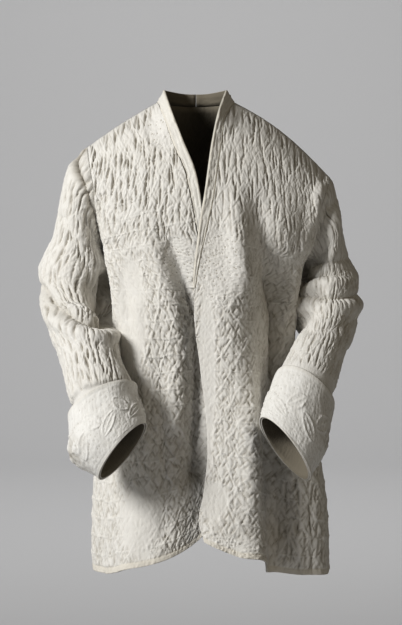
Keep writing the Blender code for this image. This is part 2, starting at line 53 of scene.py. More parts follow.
# Body
LEVEL_DOWN = 0.45
LEVEL_Z = -330.0
HEM_Z = -774.0
NECK_X = 62.0
NECK_Y = 6.0
NECK_Z = -2.0
NECK_DIP = 6.0
BACK_HEM_RISE = 42.0
FRONT_HEM_LIFT = 16.0
FRONT_HEM_SHARE = 0.4
SQUARE = 2.5
DENSE = 241
EGG = 0.45
EGG_SECTIONS = 3.0
SIDE_FADE = 6
NECK_ROUND = 0.8


def columns(names, *rows):
    """A table as a dict with an array for each named column."""
    return dict(zip(names.split(), np.array(rows, float).T))


# The shoulder tip and lower end of each armhole, its reach to the front and back, how far the shoulder
# line bows up, and how far and how sharply the hem rises to the front edge
SIDES = {
    -1: {
        "tip": (-178.0, -76.0),
        "pit_x": -153.0,
        "pit_row": 7,
        "reach": 62.0,
        "bow": 3.0,
        "rise": 76.0,
        "turn": 2.6,
    },
    1: {
        "tip": (220.0, -126.0),
        "pit_x": 175.0,
        "pit_row": 8,
        "reach": 63.0,
        "bow": 13.0,
        "rise": 52.0,
        "turn": 1.9,
    },
}

# The front edge of each front, from the shoulder seam at 0 to the hem at 1
EDGES = {
    -1: columns(
        "down x y",
        (0.00, -62, 6),
        (0.025, -54, -36),
        (0.09, -37, -72),
        (0.155, -17, -91),
        (0.205, -9, -99),
        (0.29, 2, -105),
        (0.36, 14, -106),
        (0.45, 28, -110),
        (0.59, 40, -116),
        (0.745, 44, -128),
        (0.90, 41, -142),
        (1.00, 34, -151),
    ),
    1: columns(
        "down x y",
        (0.00, 62, 6),
        (0.025, 51, -37),
        (0.09, 42, -75),
        (0.155, 35, -97),
        (0.205, 30, -108),
        (0.29, 17, -120),
        (0.36, 6, -125),
        (0.45, -2, -127),
        (0.59, 7, -131),
        (0.70, 16, -138),
        (0.80, 19, -145),
        (0.90, 11, -154),
        (0.95, 5, -159),
        (1.00, 15, -164),
    ),
}

# The side seams below the armholes
SIDE_SEAMS = {
    -1: columns(
        "down x",
        (0.2593, -153),
        (0.285, -146),
        (0.33, -137),
        (0.45, -128),
        (0.52, -129),
        (0.60, -139),
        (0.745, -160),
        (0.90, -167),
        (1.00, -169),
    ),
    1: columns(
        "down x",
        (0.2963, 175),
        (0.32, 168),
        (0.36, 160),
        (0.45, 153),
        (0.52, 152),
        (0.60, 164),
        (0.745, 197),
        (0.90, 214),
        (1.00, 218),
    ),
}

# How far back the middle of the back is, and how round the rows of cloth are
BACK = columns(
    "down y",
    (0.00, 62),
    (0.025, 79),
    (0.09, 99),
    (0.155, 108),
    (0.205, 112),
    (0.29, 114),
    (0.45, 106),
    (0.59, 110),
    (0.745, 122),
    (0.90, 136),
    (1.00, 146),
)
ROUNDNESS = columns(
    "down round",
    (0.00, 0.00),
    (0.025, 0.28),
    (0.09, 0.55),
    (0.155, 0.75),
    (0.24, 1.00),
    (0.40, 1.00),
    (1.00, 1.00),
)

# The large folds: where they start, are full, fade and are gone, their place across, reach and lift.
# Places down are shares, with the hem at 1, so a fold that fades at 8 runs on to the hem
FOLD_NAMES = "start full fade gone at_top at_hem reach_in reach_out lift lift_hem"
FOLDS = {
    -1: columns(
        FOLD_NAMES,
        (0.30, 0.50, 8, 9, 0.07, 0.11, 0.13, 0.15, -15, -21),
        (0.28, 0.50, 8, 9, 0.52, 0.47, 0.18, 0.17, 11, 16),
        (0.50, 0.72, 8, 9, 0.80, 0.78, 0.07, 0.08, -6, -9),
        (0.21, 0.36, 0.44, 0.64, 0.79, 0.68, 0.12, 0.11, 20, 20),
    ),
    1: columns(
        FOLD_NAMES,
        (0.26, 0.48, 8, 9, 0.23, 0.20, 0.17, 0.10, 15, 21),
        (0.26, 0.48, 8, 9, 0.44, 0.46, 0.09, 0.15, -15, -22),
        (0.55, 0.80, 8, 9, 0.76, 0.72, 0.11, 0.13, 8, 14),
        (0.26, 0.38, 0.48, 0.66, 0.81, 0.70, 0.12, 0.11, 24, 24),
    ),
    0: columns(
        FOLD_NAMES,
        (0.36, 0.70, 8, 9, 0.17, 0.17, 0.06, 0.06, 6, 12),
        (0.30, 0.65, 8, 9, 0.37, 0.36, 0.06, 0.07, 8, 15),
        (0.36, 0.70, 8, 9, 0.50, 0.50, 0.05, 0.05, -6, -10),
        (0.30, 0.65, 8, 9, 0.62, 0.63, 0.07, 0.06, 8, 14),
        (0.36, 0.70, 8, 9, 0.83, 0.83, 0.06, 0.06, 6, 11),
    ),
}

# Sleeve sections from armhole to lower edge: outer and inner point from the front, middle and half depth
SECTION_NAMES = "x_outer z_outer x_inner z_inner y depth"
SLEEVES = {
    -1: columns(
        SECTION_NAMES,
        (-178, -76, -153, -224, 0, 62),
        (-201, -100, -160, -233, 1, 60),
        (-211, -126, -161, -243, 3, 58),
        (-222, -178, -156, -256, 6, 56),
        (-231, -222, -147, -272, 9, 57),
        (-246, -252, -148, -290, 10, 58),
        (-255, -279, -149, -307, 7, 59),
        (-257, -303, -148, -324, -1, 62),
        (-250, -326, -143, -346, -22, 63),
        (-240, -349, -140, -370, -50, 53),
        (-227, -390, -135, -399, -82, 50),
        (-212, -429, -126, -425, -112, 48),
        (-201, -467, -112, -447, -138, 46),
        (-192, -493, -105, -464, -151, 45),
        (-186, -534, -95, -486, -168, 45),
        (-171, -571, -89, -500, -180, 45),
        (-149, -599, -85, -513, -188, 45),
    ),
    1: columns(
        SECTION_NAMES,
        (220, -126, 175, -263, 0, 63),
        (229, -162, 184, -270, 1, 60),
        (233, -197, 186, -279, 4, 58),
        (243, -234, 182, -290, 7, 57),
        (258, -275, 176, -303, 9, 58),
        (267, -310, 170, -321, 4, 60),
        (266, -341, 169, -344, -16, 60),
        (255, -380, 177, -373, -52, 52),
        (240, -412, 164, -395, -86, 48),
        (226, -445, 147, -424, -118, 46),
        (216, -478, 131, -452, -145, 45),
        (206, -519, 120, -476, -165, 45),
        (193, -565, 112, -494, -180, 45),
        (176, -601, 109, -504, -189, 45),
    ),
}

# Rolls of cloth round the sleeves: section and reach along, degrees from the outer side and spread, and lift
ROLL_NAMES = "at reach angle spread lift"
ROLLS = {
    -1: columns(
        ROLL_NAMES,
        (7.9, 0.7, 100, 80, -3),
        (9.1, 0.6, 100, 75, 3),
        (5.6, 0.7, 60, 45, 3),
        (2.2, 0.95, 128, 36, -8),
        (7.0, 1.2, 130, 28, -16),
        (7.2, 2.6, 200, 26, 22),
    ),
    1: columns(
        ROLL_NAMES,
        (4.7, 0.6, 110, 70, -5),
        (5.9, 0.6, 120, 75, 6),
        (7.1, 0.6, 130, 70, -5),
        (3.4, 0.6, 70, 60, -4),
        (2.0, 0.95, 122, 38, -15),
        (4.5, 0.85, 136, 38, -22),
        (3.2, 1.6, 200, 26, 20),
        (5.2, 1.2, 200, 26, 14),
    ),
}

# How level the sections of a sleeve are at the armhole and down to the bend of its elbow, the section
# where the bend starts, how many sections it takes, and the step that gives a sleeve's direction
ARMHOLE_LEVEL = 50.0
BEND_LEVEL = {-1: 3.0, 1: 0.0}
BEND_AT = {-1: 7.5, 1: 5.0}
BEND_SECTIONS = 2.0
SECTION_STEP = 0.4
FINE_SECTIONS = 400

# Cuffs: the section of the free edge, its slant, and how far the cuff stands off the sleeve
CUFFS = {
    -1: {"free": 13.0, "slant": 0.35, "stand_outer": (0.5, 12.0, 6.0), "stand_inner": (0.5, 3.5, 4.5)},
    1: {"free": 9.9, "slant": 0.35, "stand_outer": (0.5, 4.0, 2.0), "stand_inner": (0.5, 3.0, 2.5)},
}

# Bands: from the seam to the free edge, down the front from the neck
BANDS = {
    -1: columns(
        "down x y z",
        (0.00, 12, 0, 21),
        (0.025, 12, -3, 16),
        (0.09, 16, -4, 8),
        (0.155, 16.5, -4, 5),
        (0.25, 16.5, -2, 3),
        (0.33, 15, -1, 1),
        (0.40, 12, -1, 0),
    ),
    1: columns(
        "down x y z",
        (0.00, -14, 0, 21),
        (0.025, -12, -3, 16),
        (0.09, -16, -5, 8),
        (0.155, -16.5, -4, 5),
        (0.25, -16, -3, 3),
        (0.33, -11, -1, 1),
        (0.42, -5, 0, 0),
    ),
}
BACK_BAND = (0.0, -5.0, 21.0)
BAND_ROWS = 11


def crease(facing, lift, width, *line, painted_shade=0.0, starting=0.0):
    """A crease along (x, z) points, on the cloth that faces the front (-1), the back (1) or both (0).

    Shade is painted dark inside it by a share, and it starts softly over a length down from its first point.
    """
    made = {"facing": facing, "lift": lift, "width": width, "line": np.array(line, float)}
    return {**made, "painted_shade": painted_shade, "starting": starting}


# Creases that are smaller than the folds: soft troughs with a negative lift and ridges with a positive one
CREASES = {
    "front_left": (
        crease(
            -1, -16.0, 15, (-62, -170), (-34, -250), (-16, -295), (0, -360), (4, -430), (-2, -600),
            starting=110,
        ),
        crease(-1, 5.0, 14, (-84, -190), (-62, -260), (-46, -310), (-30, -390), (-34, -520), starting=90),
        crease(-1, -3.0, 8, (-140, -230), (-118, -290), (-108, -350)),
        crease(-1, 2.5, 10, (-95, -330), (-86, -430), (-80, -560)),
        crease(-1, -3.0, 9, (-60, -420), (-52, -540), (-50, -700)),
        crease(-1, -3.5, 9, (-133, -640), (-131, -700), (-130, -772)),
    ),
    "front_right": (
        crease(-1, -26.0, 20, (98, -140), (106, -200), (120, -280), (128, -420), (138, -765), starting=140),
        crease(-1, -14.0, 20, (136, -220), (148, -330), (152, -420), (165, -560), starting=110),
        crease(-1, -20.0, 15, (130, -300), (136, -350), (140, -400), (140, -440)),
        crease(-1, 12.0, 16, (58, -120), (64, -180), (74, -270), (85, -420), (96, -765), starting=140),
        crease(-1, -3.0, 9, (168, -250), (146, -320), (138, -400)),
        crease(-1, 8.0, 11, (202, -148), (188, -200), (171, -252)),
        crease(-1, 2.5, 9, (140, -560), (146, -660), (150, -768)),
        crease(-1, -2.5, 9, (178, -560), (184, -660), (190, -768)),
    ),
    "back": (
        crease(1, -4.0, 10, (-120, -240), (-70, -300), (-40, -420), (-34, -700)),
        crease(1, -4.0, 10, (150, -280), (95, -330), (66, -440), (62, -690)),
        crease(1, 3.0, 12, (-100, -330), (-88, -480), (-92, -720)),
        crease(1, 3.0, 12, (130, -360), (125, -500), (135, -720)),
        crease(1, -3.0, 10, (-60, -70), (10, -84), (90, -92)),
    ),
    "sleeve_left": (
        crease(
            -1, -15.0, 8, (-254, -304), (-228, -334), (-200, -350), (-170, -359), (-138, -360),
            painted_shade=0.4,
        ),
        crease(-1, 8.0, 9, (-252, -326), (-228, -356), (-198, -371), (-170, -380), (-138, -381)),
        crease(-1, -8.0, 18, (-240, -288), (-214, -316), (-188, -333), (-160, -343), (-140, -345)),
        crease(-1, -19.0, 5, (-186, -80), (-196, -96), (-193, -112), (-184, -128), painted_shade=1.6),
        crease(-1, -9.0, 5, (-184, -128), (-176, -152), (-165, -186), (-157, -220), painted_shade=0.7),
        crease(-1, -36.0, 14, (-146, -292), (-153, -328), (-140, -356), painted_shade=0.7),
        crease(-1, -3.5, 8, (-214, -190), (-196, -236), (-178, -270)),
        crease(-1, -2.0, 11, (-260, -250), (-216, -284), (-186, -300)),
        crease(1, -6.0, 9, (-258, -300), (-200, -322), (-146, -330)),
        crease(1, 4.0, 10, (-252, -270), (-196, -292), (-150, -304)),
        crease(0, -2.5, 8, (-222, -400), (-196, -446), (-172, -470)),
    ),
    "sleeve_right": (
        crease(-1, -9.0, 11, (217, -172), (203, -215), (192, -262)),
        crease(-1, -15.0, 13, (172, -282), (182, -298), (196, -310)),
        crease(-1, -8.0, 6, (272, -318), (236, -320), (200, -319), (168, -318)),
        crease(-1, 6.0, 9, (270, -334), (236, -337), (200, -338), (170, -338)),
        crease(-1, -4.0, 7, (250, -258), (222, -262), (190, -266)),
        crease(-1, 3.0, 9, (258, -290), (226, -296), (196, -300)),
        crease(-1, -3.0, 7, (262, -356), (226, -366), (184, -372)),
        crease(1, -6.0, 9, (268, -312), (220, -322), (172, -324)),
        crease(1, 4.0, 10, (264, -285), (220, -296), (180, -302)),
        crease(0, -2.5, 8, (244, -405), (212, -440), (184, -462)),
    ),
}


# Where each use of the scattered numbers starts, and the factors of these numbers
SEEDS = {"body": 5, "sleeve": 20, "crease": 31, "wave": 40, "swell": 56, "ripple": 70}
SCATTER = (127.1, 311.7, 74.7)
SCATTER_SCALE = 43758.5453

# A length that counts as none, and one that counts as far off
TINY = 1e-12
FAR = 1e9


def eased(x):
    """A soft step from 0 to 1, as x goes from 0 to 1."""
    x = np.clip(x, 0, 1)
    return x * x * (3 - 2 * x)


def bell(away, half):
    """1 at no distance away, and softly down to 0 beyond a half width."""
    return np.exp(-((away / half) ** 2))


def run(points):
    """Lengths along a line of points from its first, or down each column of a grid."""
    steps = np.linalg.norm(np.diff(points, axis=0), axis=-1)
    return np.concatenate([np.zeros_like(steps[:1]), np.cumsum(steps, axis=0)])


def unit(v):
    return v / np.maximum(np.linalg.norm(v, axis=-1, keepdims=True), TINY)


def smooth(knots, values, at):
    """Values at places between the knots, on a smooth curve through all the values."""
    slopes = np.gradient(values, knots)
    k = np.clip(np.searchsorted(knots, at, side="right") - 1, 0, len(knots) - 2)
    span = knots[k + 1] - knots[k]
    s = np.clip((at - knots[k]) / span, 0, 1)
    start = values[k] * (1 + 2 * s) + slopes[k] * span * s
    end = values[k + 1] * (3 - 2 * s) - slopes[k + 1] * span * (1 - s)
    return start * (1 - s) ** 2 + end * s * s


def column(table, name, at, along="down"):
    return smooth(table[along], table[name], np.asarray(at, float))


def scatter(i, j, seed):
    """A number from 0 to 1 for each pair of whole numbers."""
    mixed = np.sin(i * SCATTER[0] + j * SCATTER[1] + seed * SCATTER[2]) * SCATTER_SCALE
    return mixed - np.floor(mixed)


def noise(x, y, seed):
    """Smooth values from 0 to 1 that change over a length of 1."""
    left, low = np.floor(x), np.floor(y)
    over, up = eased(x - left), eased(y - low)
    below = scatter(left, low, seed) * (1 - over) + scatter(left + 1, low, seed) * over
    above = scatter(left, low + 1, seed) * (1 - over) + scatter(left + 1, low + 1, seed) * over
    return below * (1 - up) + above * up


# Surfaces of the body


def pit_down(side):
    return SIDES[side]["pit_row"] / ROWS


def seam_x(side, down):
    """How far out a row ends: on the straight armhole, then on the side seam."""
    pit = pit_down(side)
    tip = SIDES[side]["tip"][0]
    if down < pit:
        return tip + (SIDES[side]["pit_x"] - tip) * down / pit
    return float(column(SIDE_SEAMS[side], "x", down))


def armhole_reach(side, down):
    """How far an armhole reaches to the front and back on a row."""
    share = min(down / pit_down(side), 1)
    return SIDES[side]["reach"] * 2 * (share * (1 - share)) ** 0.5 * (1 - EGG * eased(share))


def between_levels(top, hem, down):
    """Heights of a row that goes from the shoulder line through the level row to the hem."""
    if down < LEVEL_DOWN:
        return top + (LEVEL_Z - top) * down / LEVEL_DOWN
    return LEVEL_Z + (hem - LEVEL_Z) * (down - LEVEL_DOWN) / (1 - LEVEL_DOWN)


def fold_lift(table, across, down):
    """How far the large folds move the cloth out."""
    total = np.zeros_like(across)
    for start, full, fade, gone, at_top, at_hem, reach_in, reach_out, lift, lift_hem in zip(*table.values()):
        way = np.clip((down - start) / (1 - start), 0, 1)
        place = at_top + (at_hem - at_top) * way
        reach = np.where(across < place, reach_in, reach_out)
        height = (lift + (lift_hem - lift) * way) * eased((down - start) / (full - start))
        height *= 1 - eased((down - fade) / (gone - fade))
        total += height * bell(across - place, reach)
    return total


def lifted(points, lifts, turn):
    """A row of points moved out level, at a right angle to the row."""
    along = np.gradient(points, axis=0)
    out = unit(np.stack([along[:, 1], -along[:, 0], np.zeros(len(points))], axis=1)) * turn
    return points + out * lifts[:, None]


def spaced(points, across):
    """Points at shares of the length of a row."""
    length = run(points)
    return np.stack([np.interp(across, length / length[-1], points[:, k]) for k in range(3)], axis=1)


def front_row(side, down, across):
    """Points of a front on one row, from the front edge to the seam at the side."""
    q = np.linspace(0, 1, DENSE)
    rounded = float(column(ROUNDNESS, "round", down))
    x_in = float(column(EDGES[side], "x", down))
    y_in = float(column(EDGES[side], "y", down))
    x_out = seam_x(side, down)
    y_out = -armhole_reach(side, down)
    share = np.minimum(rounded * np.sin(q * np.pi / 2) ** (2 / SQUARE) + (1 - rounded) * q, 1)
    depth = rounded * np.cos(q * np.pi / 2) ** (2 / SQUARE) + (1 - rounded) * (1 - q)
    tip_z = SIDES[side]["tip"][1]
    top = NECK_Z + (tip_z - NECK_Z) * share + SIDES[side]["bow"] * np.sin(np.pi * share)
    hem = HEM_Z + FRONT_HEM_LIFT * eased((1 - share) / FRONT_HEM_SHARE)
    hem = hem + SIDES[side]["rise"] * (1 - share) ** SIDES[side]["turn"]
    row = np.stack(
        [
            x_in + (x_out - x_in) * share,
            y_out + (y_in - y_out) * depth,
            between_levels(top, hem, down),
        ],
        axis=1,
    )
    even = spaced(row, q)
    lifts = fold_lift(FOLDS[side], q, down) * (1 - q**SIDE_FADE)
    return spaced(lifted(even, lifts, side), across)


def back_row(down, across):
    """Points of the back on one row, from the left seam to the right seam."""
    q = np.linspace(0, 1, DENSE)
    turn = (q - 0.5) * np.pi
    rounded = float(column(ROUNDNESS, "round", down))
    left, right = seam_x(-1, down), seam_x(1, down)
    middle = (left + right) / 2
    bent = np.sign(turn) * np.abs(np.sin(turn)) ** (2 / SQUARE)
    x = rounded * (middle + (right - left) / 2 * bent) + (1 - rounded) * (left + (right - left) * q)
    reach = armhole_reach(-1, down) * (1 - q) + armhole_reach(1, down) * q
    neck = np.where(np.abs(x) < NECK_X, np.cos(np.clip(x / NECK_X, -1, 1) * np.pi / 2), 0) ** NECK_ROUND
    profile = rounded * np.cos(turn) ** (2 / SQUARE) + (1 - rounded) * neck
    behind = float(column(BACK, "y", down))
    top = np.full(DENSE, NECK_Z) - NECK_DIP * neck
    on_neck = np.ones(DENSE)
    for side, end in ((-1, left), (1, right)):
        share = np.clip((x - side * NECK_X) / (end - side * NECK_X), 0, 1)
        top += (SIDES[side]["tip"][1] - NECK_Z) * share + SIDES[side]["bow"] * np.sin(np.pi * share)
        on_neck -= share
    side_y = reach + NECK_Y * (1 - rounded) * on_neck
    y = side_y + (behind - side_y) * profile
    hem = HEM_Z + BACK_HEM_RISE * np.cos(turn) ** 2
    row = np.stack([x, y, between_levels(top, hem, down)], axis=1)
    even = spaced(row, q)
    lifts = fold_lift(FOLDS[0], q, down) * (1 - np.abs(2 * q - 1) ** SIDE_FADE)
    return spaced(lifted(even, lifts, -1), across)


# Surfaces of the sleeves


def armhole_ends(side):
    """The shoulder tip and the lower end of an armhole."""
    tip_x, tip_z = SIDES[side]["tip"]
    pit_z = between_levels(tip_z, HEM_Z, pit_down(side))
    return np.array([tip_x, 0, tip_z]), np.array([SIDES[side]["pit_x"], 0, pit_z])


def armhole_out(side, points):
    """Directions from the middle of an armhole, which both sides of its seam stand along."""
    tip, pit = armhole_ends(side)
    return unit(points - (tip + pit) / 2)


def armhole_axis(side):
    """The direction out of the body at a right angle to an armhole."""
    tip, pit = armhole_ends(side)
    slope = unit(tip - pit)
    return side * np.array([slope[2], 0, -slope[0]])


# The neck seam: the middle of the neck, and how far the seam leans out and up
NECK_MIDDLE = np.array([0, 20.0, 0])
NECK_LEAN = (0.8, 0.6)
LEVEL_PART = np.array([1.0, 1.0, 0])
UP = np.array([0, 0, 1.0])


def neck_out(points):
    """Directions that both sides of the neck seam stand along, out from the neck and up."""
    return unit((points - NECK_MIDDLE) * LEVEL_PART) * NECK_LEAN[0] + UP * NECK_LEAN[1]


def sections(side):
    """The sleeve's table, with the armhole itself as its first section."""
    table = {name: values.copy() for name, values in SLEEVES[side].items()}
    tip, pit = armhole_ends(side)
    first = (tip[0], tip[2], pit[0], pit[2], 0.0, SIDES[side]["reach"])
    for name, value in zip(table, first):
        table[name][0] = value
    table["at"] = np.arange(len(table["y"]), dtype=float)
    return table


def section_frame(table, at):
    """The middle of a sleeve section, its half width to the outer side, and its half depth."""
    x_outer, z_outer, x_inner, z_inner, y, depth = (
        float(column(table, name, at, "at")) for name in SECTION_NAMES.split()
    )
    middle = np.array([(x_outer + x_inner) / 2, y, (z_outer + z_inner) / 2])
    half = np.array([(x_outer - x_inner) / 2, 0.0, (z_outer - z_inner) / 2])
    return middle, half, depth


def sleeve_ring(side, at, angles):
    """Points round a sleeve at one section, from the outer side over the front."""
    table = sections(side)
    middle, half, depth = section_frame(table, at)
    last = table["at"][-1]
    before = section_frame(table, max(at - SECTION_STEP, 0))[0]
    after = section_frame(table, min(at + SECTION_STEP, last))[0]
    front = unit(np.cross(after - before, half))
    front = -front if front[1] > 0 else front
    to_bend = 1 - eased((at - BEND_AT[side]) / BEND_SECTIONS)
    level = ARMHOLE_LEVEL * (1 - eased(at)) + BEND_LEVEL[side] * to_bend
    front = unit(front + np.array([0, -1.0, 0]) * level)
    lift = np.zeros_like(angles)
    for roll_at, reach, angle, spread, height in zip(*ROLLS[side].values()):
        around = (np.degrees(angles) - angle + 180) % 360 - 180
        lift += height * bell(at - roll_at, reach) * bell(around, spread)
    out = unit(half) * np.cos(angles)[:, None] + front * np.sin(angles)[:, None]
    narrow = 1 - EGG * eased((1 - np.cos(angles)) / 2) * (1 - eased(at / EGG_SECTIONS))
    to_front = depth * np.sin(angles) * narrow
    return middle + half * np.cos(angles)[:, None] + front * to_front[:, None] + out * lift[:, None]


def sleeve_places(side, first, last, count):
    """Sections that are evenly spaced along a sleeve's middle, and the length between first and last."""
    table = sections(side)
    fine = np.linspace(first, last, FINE_SECTIONS)
    middles = np.array([section_frame(table, at)[0] for at in fine])
    length = run(middles)
    return np.interp(np.linspace(0, length[-1], count), length, fine), length[-1]


# Cloth with its thickness


def grid_normals(points, closed, outside):
    """Directions out of a grid of points, to the side that the given point of each row is away from."""
    down = np.gradient(points, axis=0)
    if closed:
        around = np.roll(points, -1, axis=1) - np.roll(points, 1, axis=1)
    else:
        around = np.gradient(points, axis=1)
    out = unit(np.cross(down, around))
    facing = np.einsum("ijk,ijk->", out, points - outside)
    return out if facing > 0 else -out


def near_line(points, line):
    """Distances in x and z from a line of points."""
    flat = points[..., [0, 2]]
    nearest = np.full(flat.shape[:-1], FAR)
    for start, end in zip(line, line[1:]):
        along = end - start
        share = np.clip(((flat - start) @ along) / (along @ along), 0, 1)
        nearest = np.minimum(nearest, np.linalg.norm(flat - start - share[..., None] * along, axis=-1))
    return nearest


# Creases: the patches where they are weaker or stronger, and how sharply they end where cloth turns away
CREASE_PATCH = 40.0
CREASE_LEAST = 0.7
CREASE_UNEVEN = 0.6
FACING_SHARP = 1.5


def crease_lift(name, points, out):
    """How far the creases of a piece move its cloth, and how much shade is painted inside them."""
    total = np.zeros(points.shape[:-1])
    painted_shade = np.zeros(points.shape[:-1])
    for number, fold in enumerate(CREASES[name]):
        seed = SEEDS["crease"] + number
        patches = noise(points[..., 0] / CREASE_PATCH, points[..., 2] / CREASE_PATCH, seed)
        share = bell(near_line(points, fold["line"]), fold["width"])
        if fold["starting"]:
            below = fold["line"][0, 1] + fold["width"] - points[..., 2]
            share = share * eased(below / fold["starting"])
        if fold["facing"]:
            share = share * eased(0.5 + FACING_SHARP * fold["facing"] * out[..., 1])
        total += fold["lift"] * share * (CREASE_LEAST + CREASE_UNEVEN * patches)
        painted_shade = np.maximum(painted_shade, fold["painted_shade"] * share**0.5)
    return total, painted_shade


# Quilting: rises, depths, half widths and spacings of its cords, puckers and strokes, how far the dents
# stray from their places, and how puckered and starry each part of the jacket is
CORD_RISE = 2.3
CORD_HALF = 1.25
CORD_PATCH = 19.0
CORD_BRIDGE = 0.7
GROOVE_DEEP = 0.6
GROOVE_AWAY = 3.0
GROOVE_HALF = 1.4
STAR_REACH = 10.0
CORD_EVEN = (0.12, 0.2, 0.2, 0.0)
CORD_UNEVEN = 2.0
SLANT_SPAN = 25.9
WOBBLE = 0.16
WOBBLE_PATCH = 17.0
PILLOW_RISE = 0.8
PUCKER_RISE = 2.9
PUCKER_WIDE = 10.0
PUCKER_LONG = 33.0
PUCKER_HALF = 1.3
PUCKER_OPEN = 0.6
SHARP_SHARE = 1.15
SOFT_SHARE = 0.2
SOFT_WIDER = 2.5
STROKE_DEEP = 2.6
STROKE_WIDE = 8.5
STROKE_LONG = 14.0
STROKE_HALF = 1.3
STROKE_LEAN = 0.5
# How much shade is painted into the strokes
STROKE_PAINTED_SHADE = 0.7
STRAY = 0.9
STRAY_TILT = 0.3
DENT = {"short": 0.3, "longer": 0.4, "shallow": 0.4, "deeper": 0.6, "taper": 0.7, "tip": 0.4}
SLEEVE_PUCKERED = {-1: 1.5, 1: 1.0}
SLEEVE_STARRY = 0.5
HEAD_SLANT = 0.45
HEAD_LONG = 36.0
TOP_PUCKERED = {-1: 0.8, 1: 0.55, 0: 0.6}
LOW_PUCKERED = 0.5
PUCKERS_END = 0.14
TOP_STARRY = {-1: 0.6, 1: 0.4, 0: 0.6}
LOW_STARRY = 1.2
STARS_START = 0.16
TOP_FADE = 0.30
BODY_RELIEF = {-1: 1.0, 1: 0.8, 0: 0.9}


def slit(value, soft):
    """1 along lines where a noise has its middle value, which are slits between soft swellings."""
    return bell(value - 0.5, soft)


def spindles(s, t, wide, long, half, lean, seed):
    """Depths from 0 to 1 of narrow dents with pointed ends, one in each place of an uneven grid."""
    deepest = np.zeros_like(s)
    for right in (-1, 0, 1):
        for lower in (-1, 0, 1):
            i, j = np.floor(s / wide) + right, np.floor(t / long) + lower
            below = t - (j + 0.5 + STRAY * (scatter(i, j, seed) - 0.5)) * long
            tilt = lean + STRAY_TILT * (scatter(i, j, seed + 1) - 0.5)
            aside = s - (i + 0.5 + STRAY * (scatter(i, j, seed + 2) - 0.5)) * wide - tilt * below
            reach = long * (DENT["short"] + DENT["longer"] * scatter(i, j, seed + 3))
            taper = np.clip(1 - (below / reach) ** 2, 0, 1)
            depth = DENT["shallow"] + DENT["deeper"] * scatter(i, j, seed + 4)
            narrowed = half * (DENT["tip"] + (1 - DENT["tip"]) * taper)
            deepest = np.maximum(deepest, depth * taper ** DENT["taper"] * bell(aside, narrowed))
    return deepest


def quilting(u, v, s, t, puckered, starry, plain, seed):
    """Height of the quilting and where shade is painted into its slits and strokes: u counts cells, v rows of
    cords, s and t are millimetres.
    """
    u = u + (noise(s / WOBBLE_PATCH, t / WOBBLE_PATCH, seed) - 0.5) * WOBBLE
    v = v + (noise(s / WOBBLE_PATCH, t / WOBBLE_PATCH, seed + 1) - 0.5) * WOBBLE
    lines = (v, u - v / 2, u + v / 2)
    spans = (CELL, SLANT_SPAN, SLANT_SPAN)
    gaps = [np.abs(line - np.round(line)) * span for line, span in zip(lines, spans)]
    pillow = np.minimum(np.minimum(gaps[0], gaps[1]), gaps[2]) / (CELL / 4)
    star = np.exp(-sum(gap**2 for gap in gaps) / STAR_REACH**2)
    upright = u - np.round(v) / 2
    gaps.append(np.abs(upright - np.round(upright)) * CELL)
    cords = np.zeros_like(u)
    grooves = np.zeros_like(u)
    for number, (gap, even) in enumerate(zip(gaps, CORD_EVEN)):
        patches = noise(s / CORD_PATCH + 7 * number, t / CORD_PATCH, seed + 2 + number)
        strength = even * (1 + CORD_UNEVEN * patches) * (1 - star) + star
        cords = np.maximum(cords, strength * bell(gap, CORD_HALF))
        grooves = np.maximum(grooves, strength * bell(gap - GROOVE_AWAY, GROOVE_HALF))
    half = PUCKER_HALF * PUCKER_OPEN * (1 + puckered)
    sharp = spindles(s, t, PUCKER_WIDE, PUCKER_LONG, half, 0, seed + 6)
    soft = spindles(s, t, PUCKER_WIDE, PUCKER_LONG, SOFT_WIDER * half, 0, seed + 6)
    strokes = np.zeros_like(u)
    for lean, stroke_seed in ((STROKE_LEAN, seed + 12), (-STROKE_LEAN, seed + 18)):
        leaning = spindles(s, t, STROKE_WIDE, STROKE_LONG, STROKE_HALF, lean, stroke_seed)
        strokes = np.maximum(strokes, leaning)
    rise = CORD_RISE * starry * cords - GROOVE_DEEP * grooves + PILLOW_RISE * np.minimum(pillow, 1)
    rise += PUCKER_RISE * puckered
    sunk = PUCKER_RISE * puckered * (SHARP_SHARE * sharp + SOFT_SHARE * soft)
    sunk += STROKE_DEEP * starry * strokes
    # Painted shade in the narrow puckers and strokes, off the cords
    dark = np.maximum(np.minimum(puckered, 1) * sharp, STROKE_PAINTED_SHADE * starry * strokes) * (1 - cords)
    return (rise - sunk * (1 - CORD_BRIDGE * cords)) * (1 - plain), dark * (1 - plain)


def boundary_strip(fine, coarse):
    """Triangles between a fine edge and a coarse one that has every COARSE-th of its points."""
    strip = []
    half = COARSE // 2
    for k in range(len(coarse) - 1):
        here = fine[k * COARSE : (k + 1) * COARSE + 1]
        for j in range(COARSE):
            strip.append((here[j], here[j + 1], coarse[k] if j < half else coarse[k + 1]))
        strip.append((here[half], coarse[k + 1], coarse[k]))
    return strip


def grid_faces(height, width, closed, first, flip):
    """Faces with four corners on a grid of points that are numbered from the first."""
    i, j = np.meshgrid(np.arange(height - 1), np.arange(width if closed else width - 1), indexing="ij")
    across = (j + 1) % width
    corners = (i * width + j, i * width + across, (i + 1) * width + across, (i + 1) * width + j)
    faces = np.stack([corner.ravel() for corner in corners], axis=1) + first
    return (faces[:, ::-1] if flip else faces).tolist()


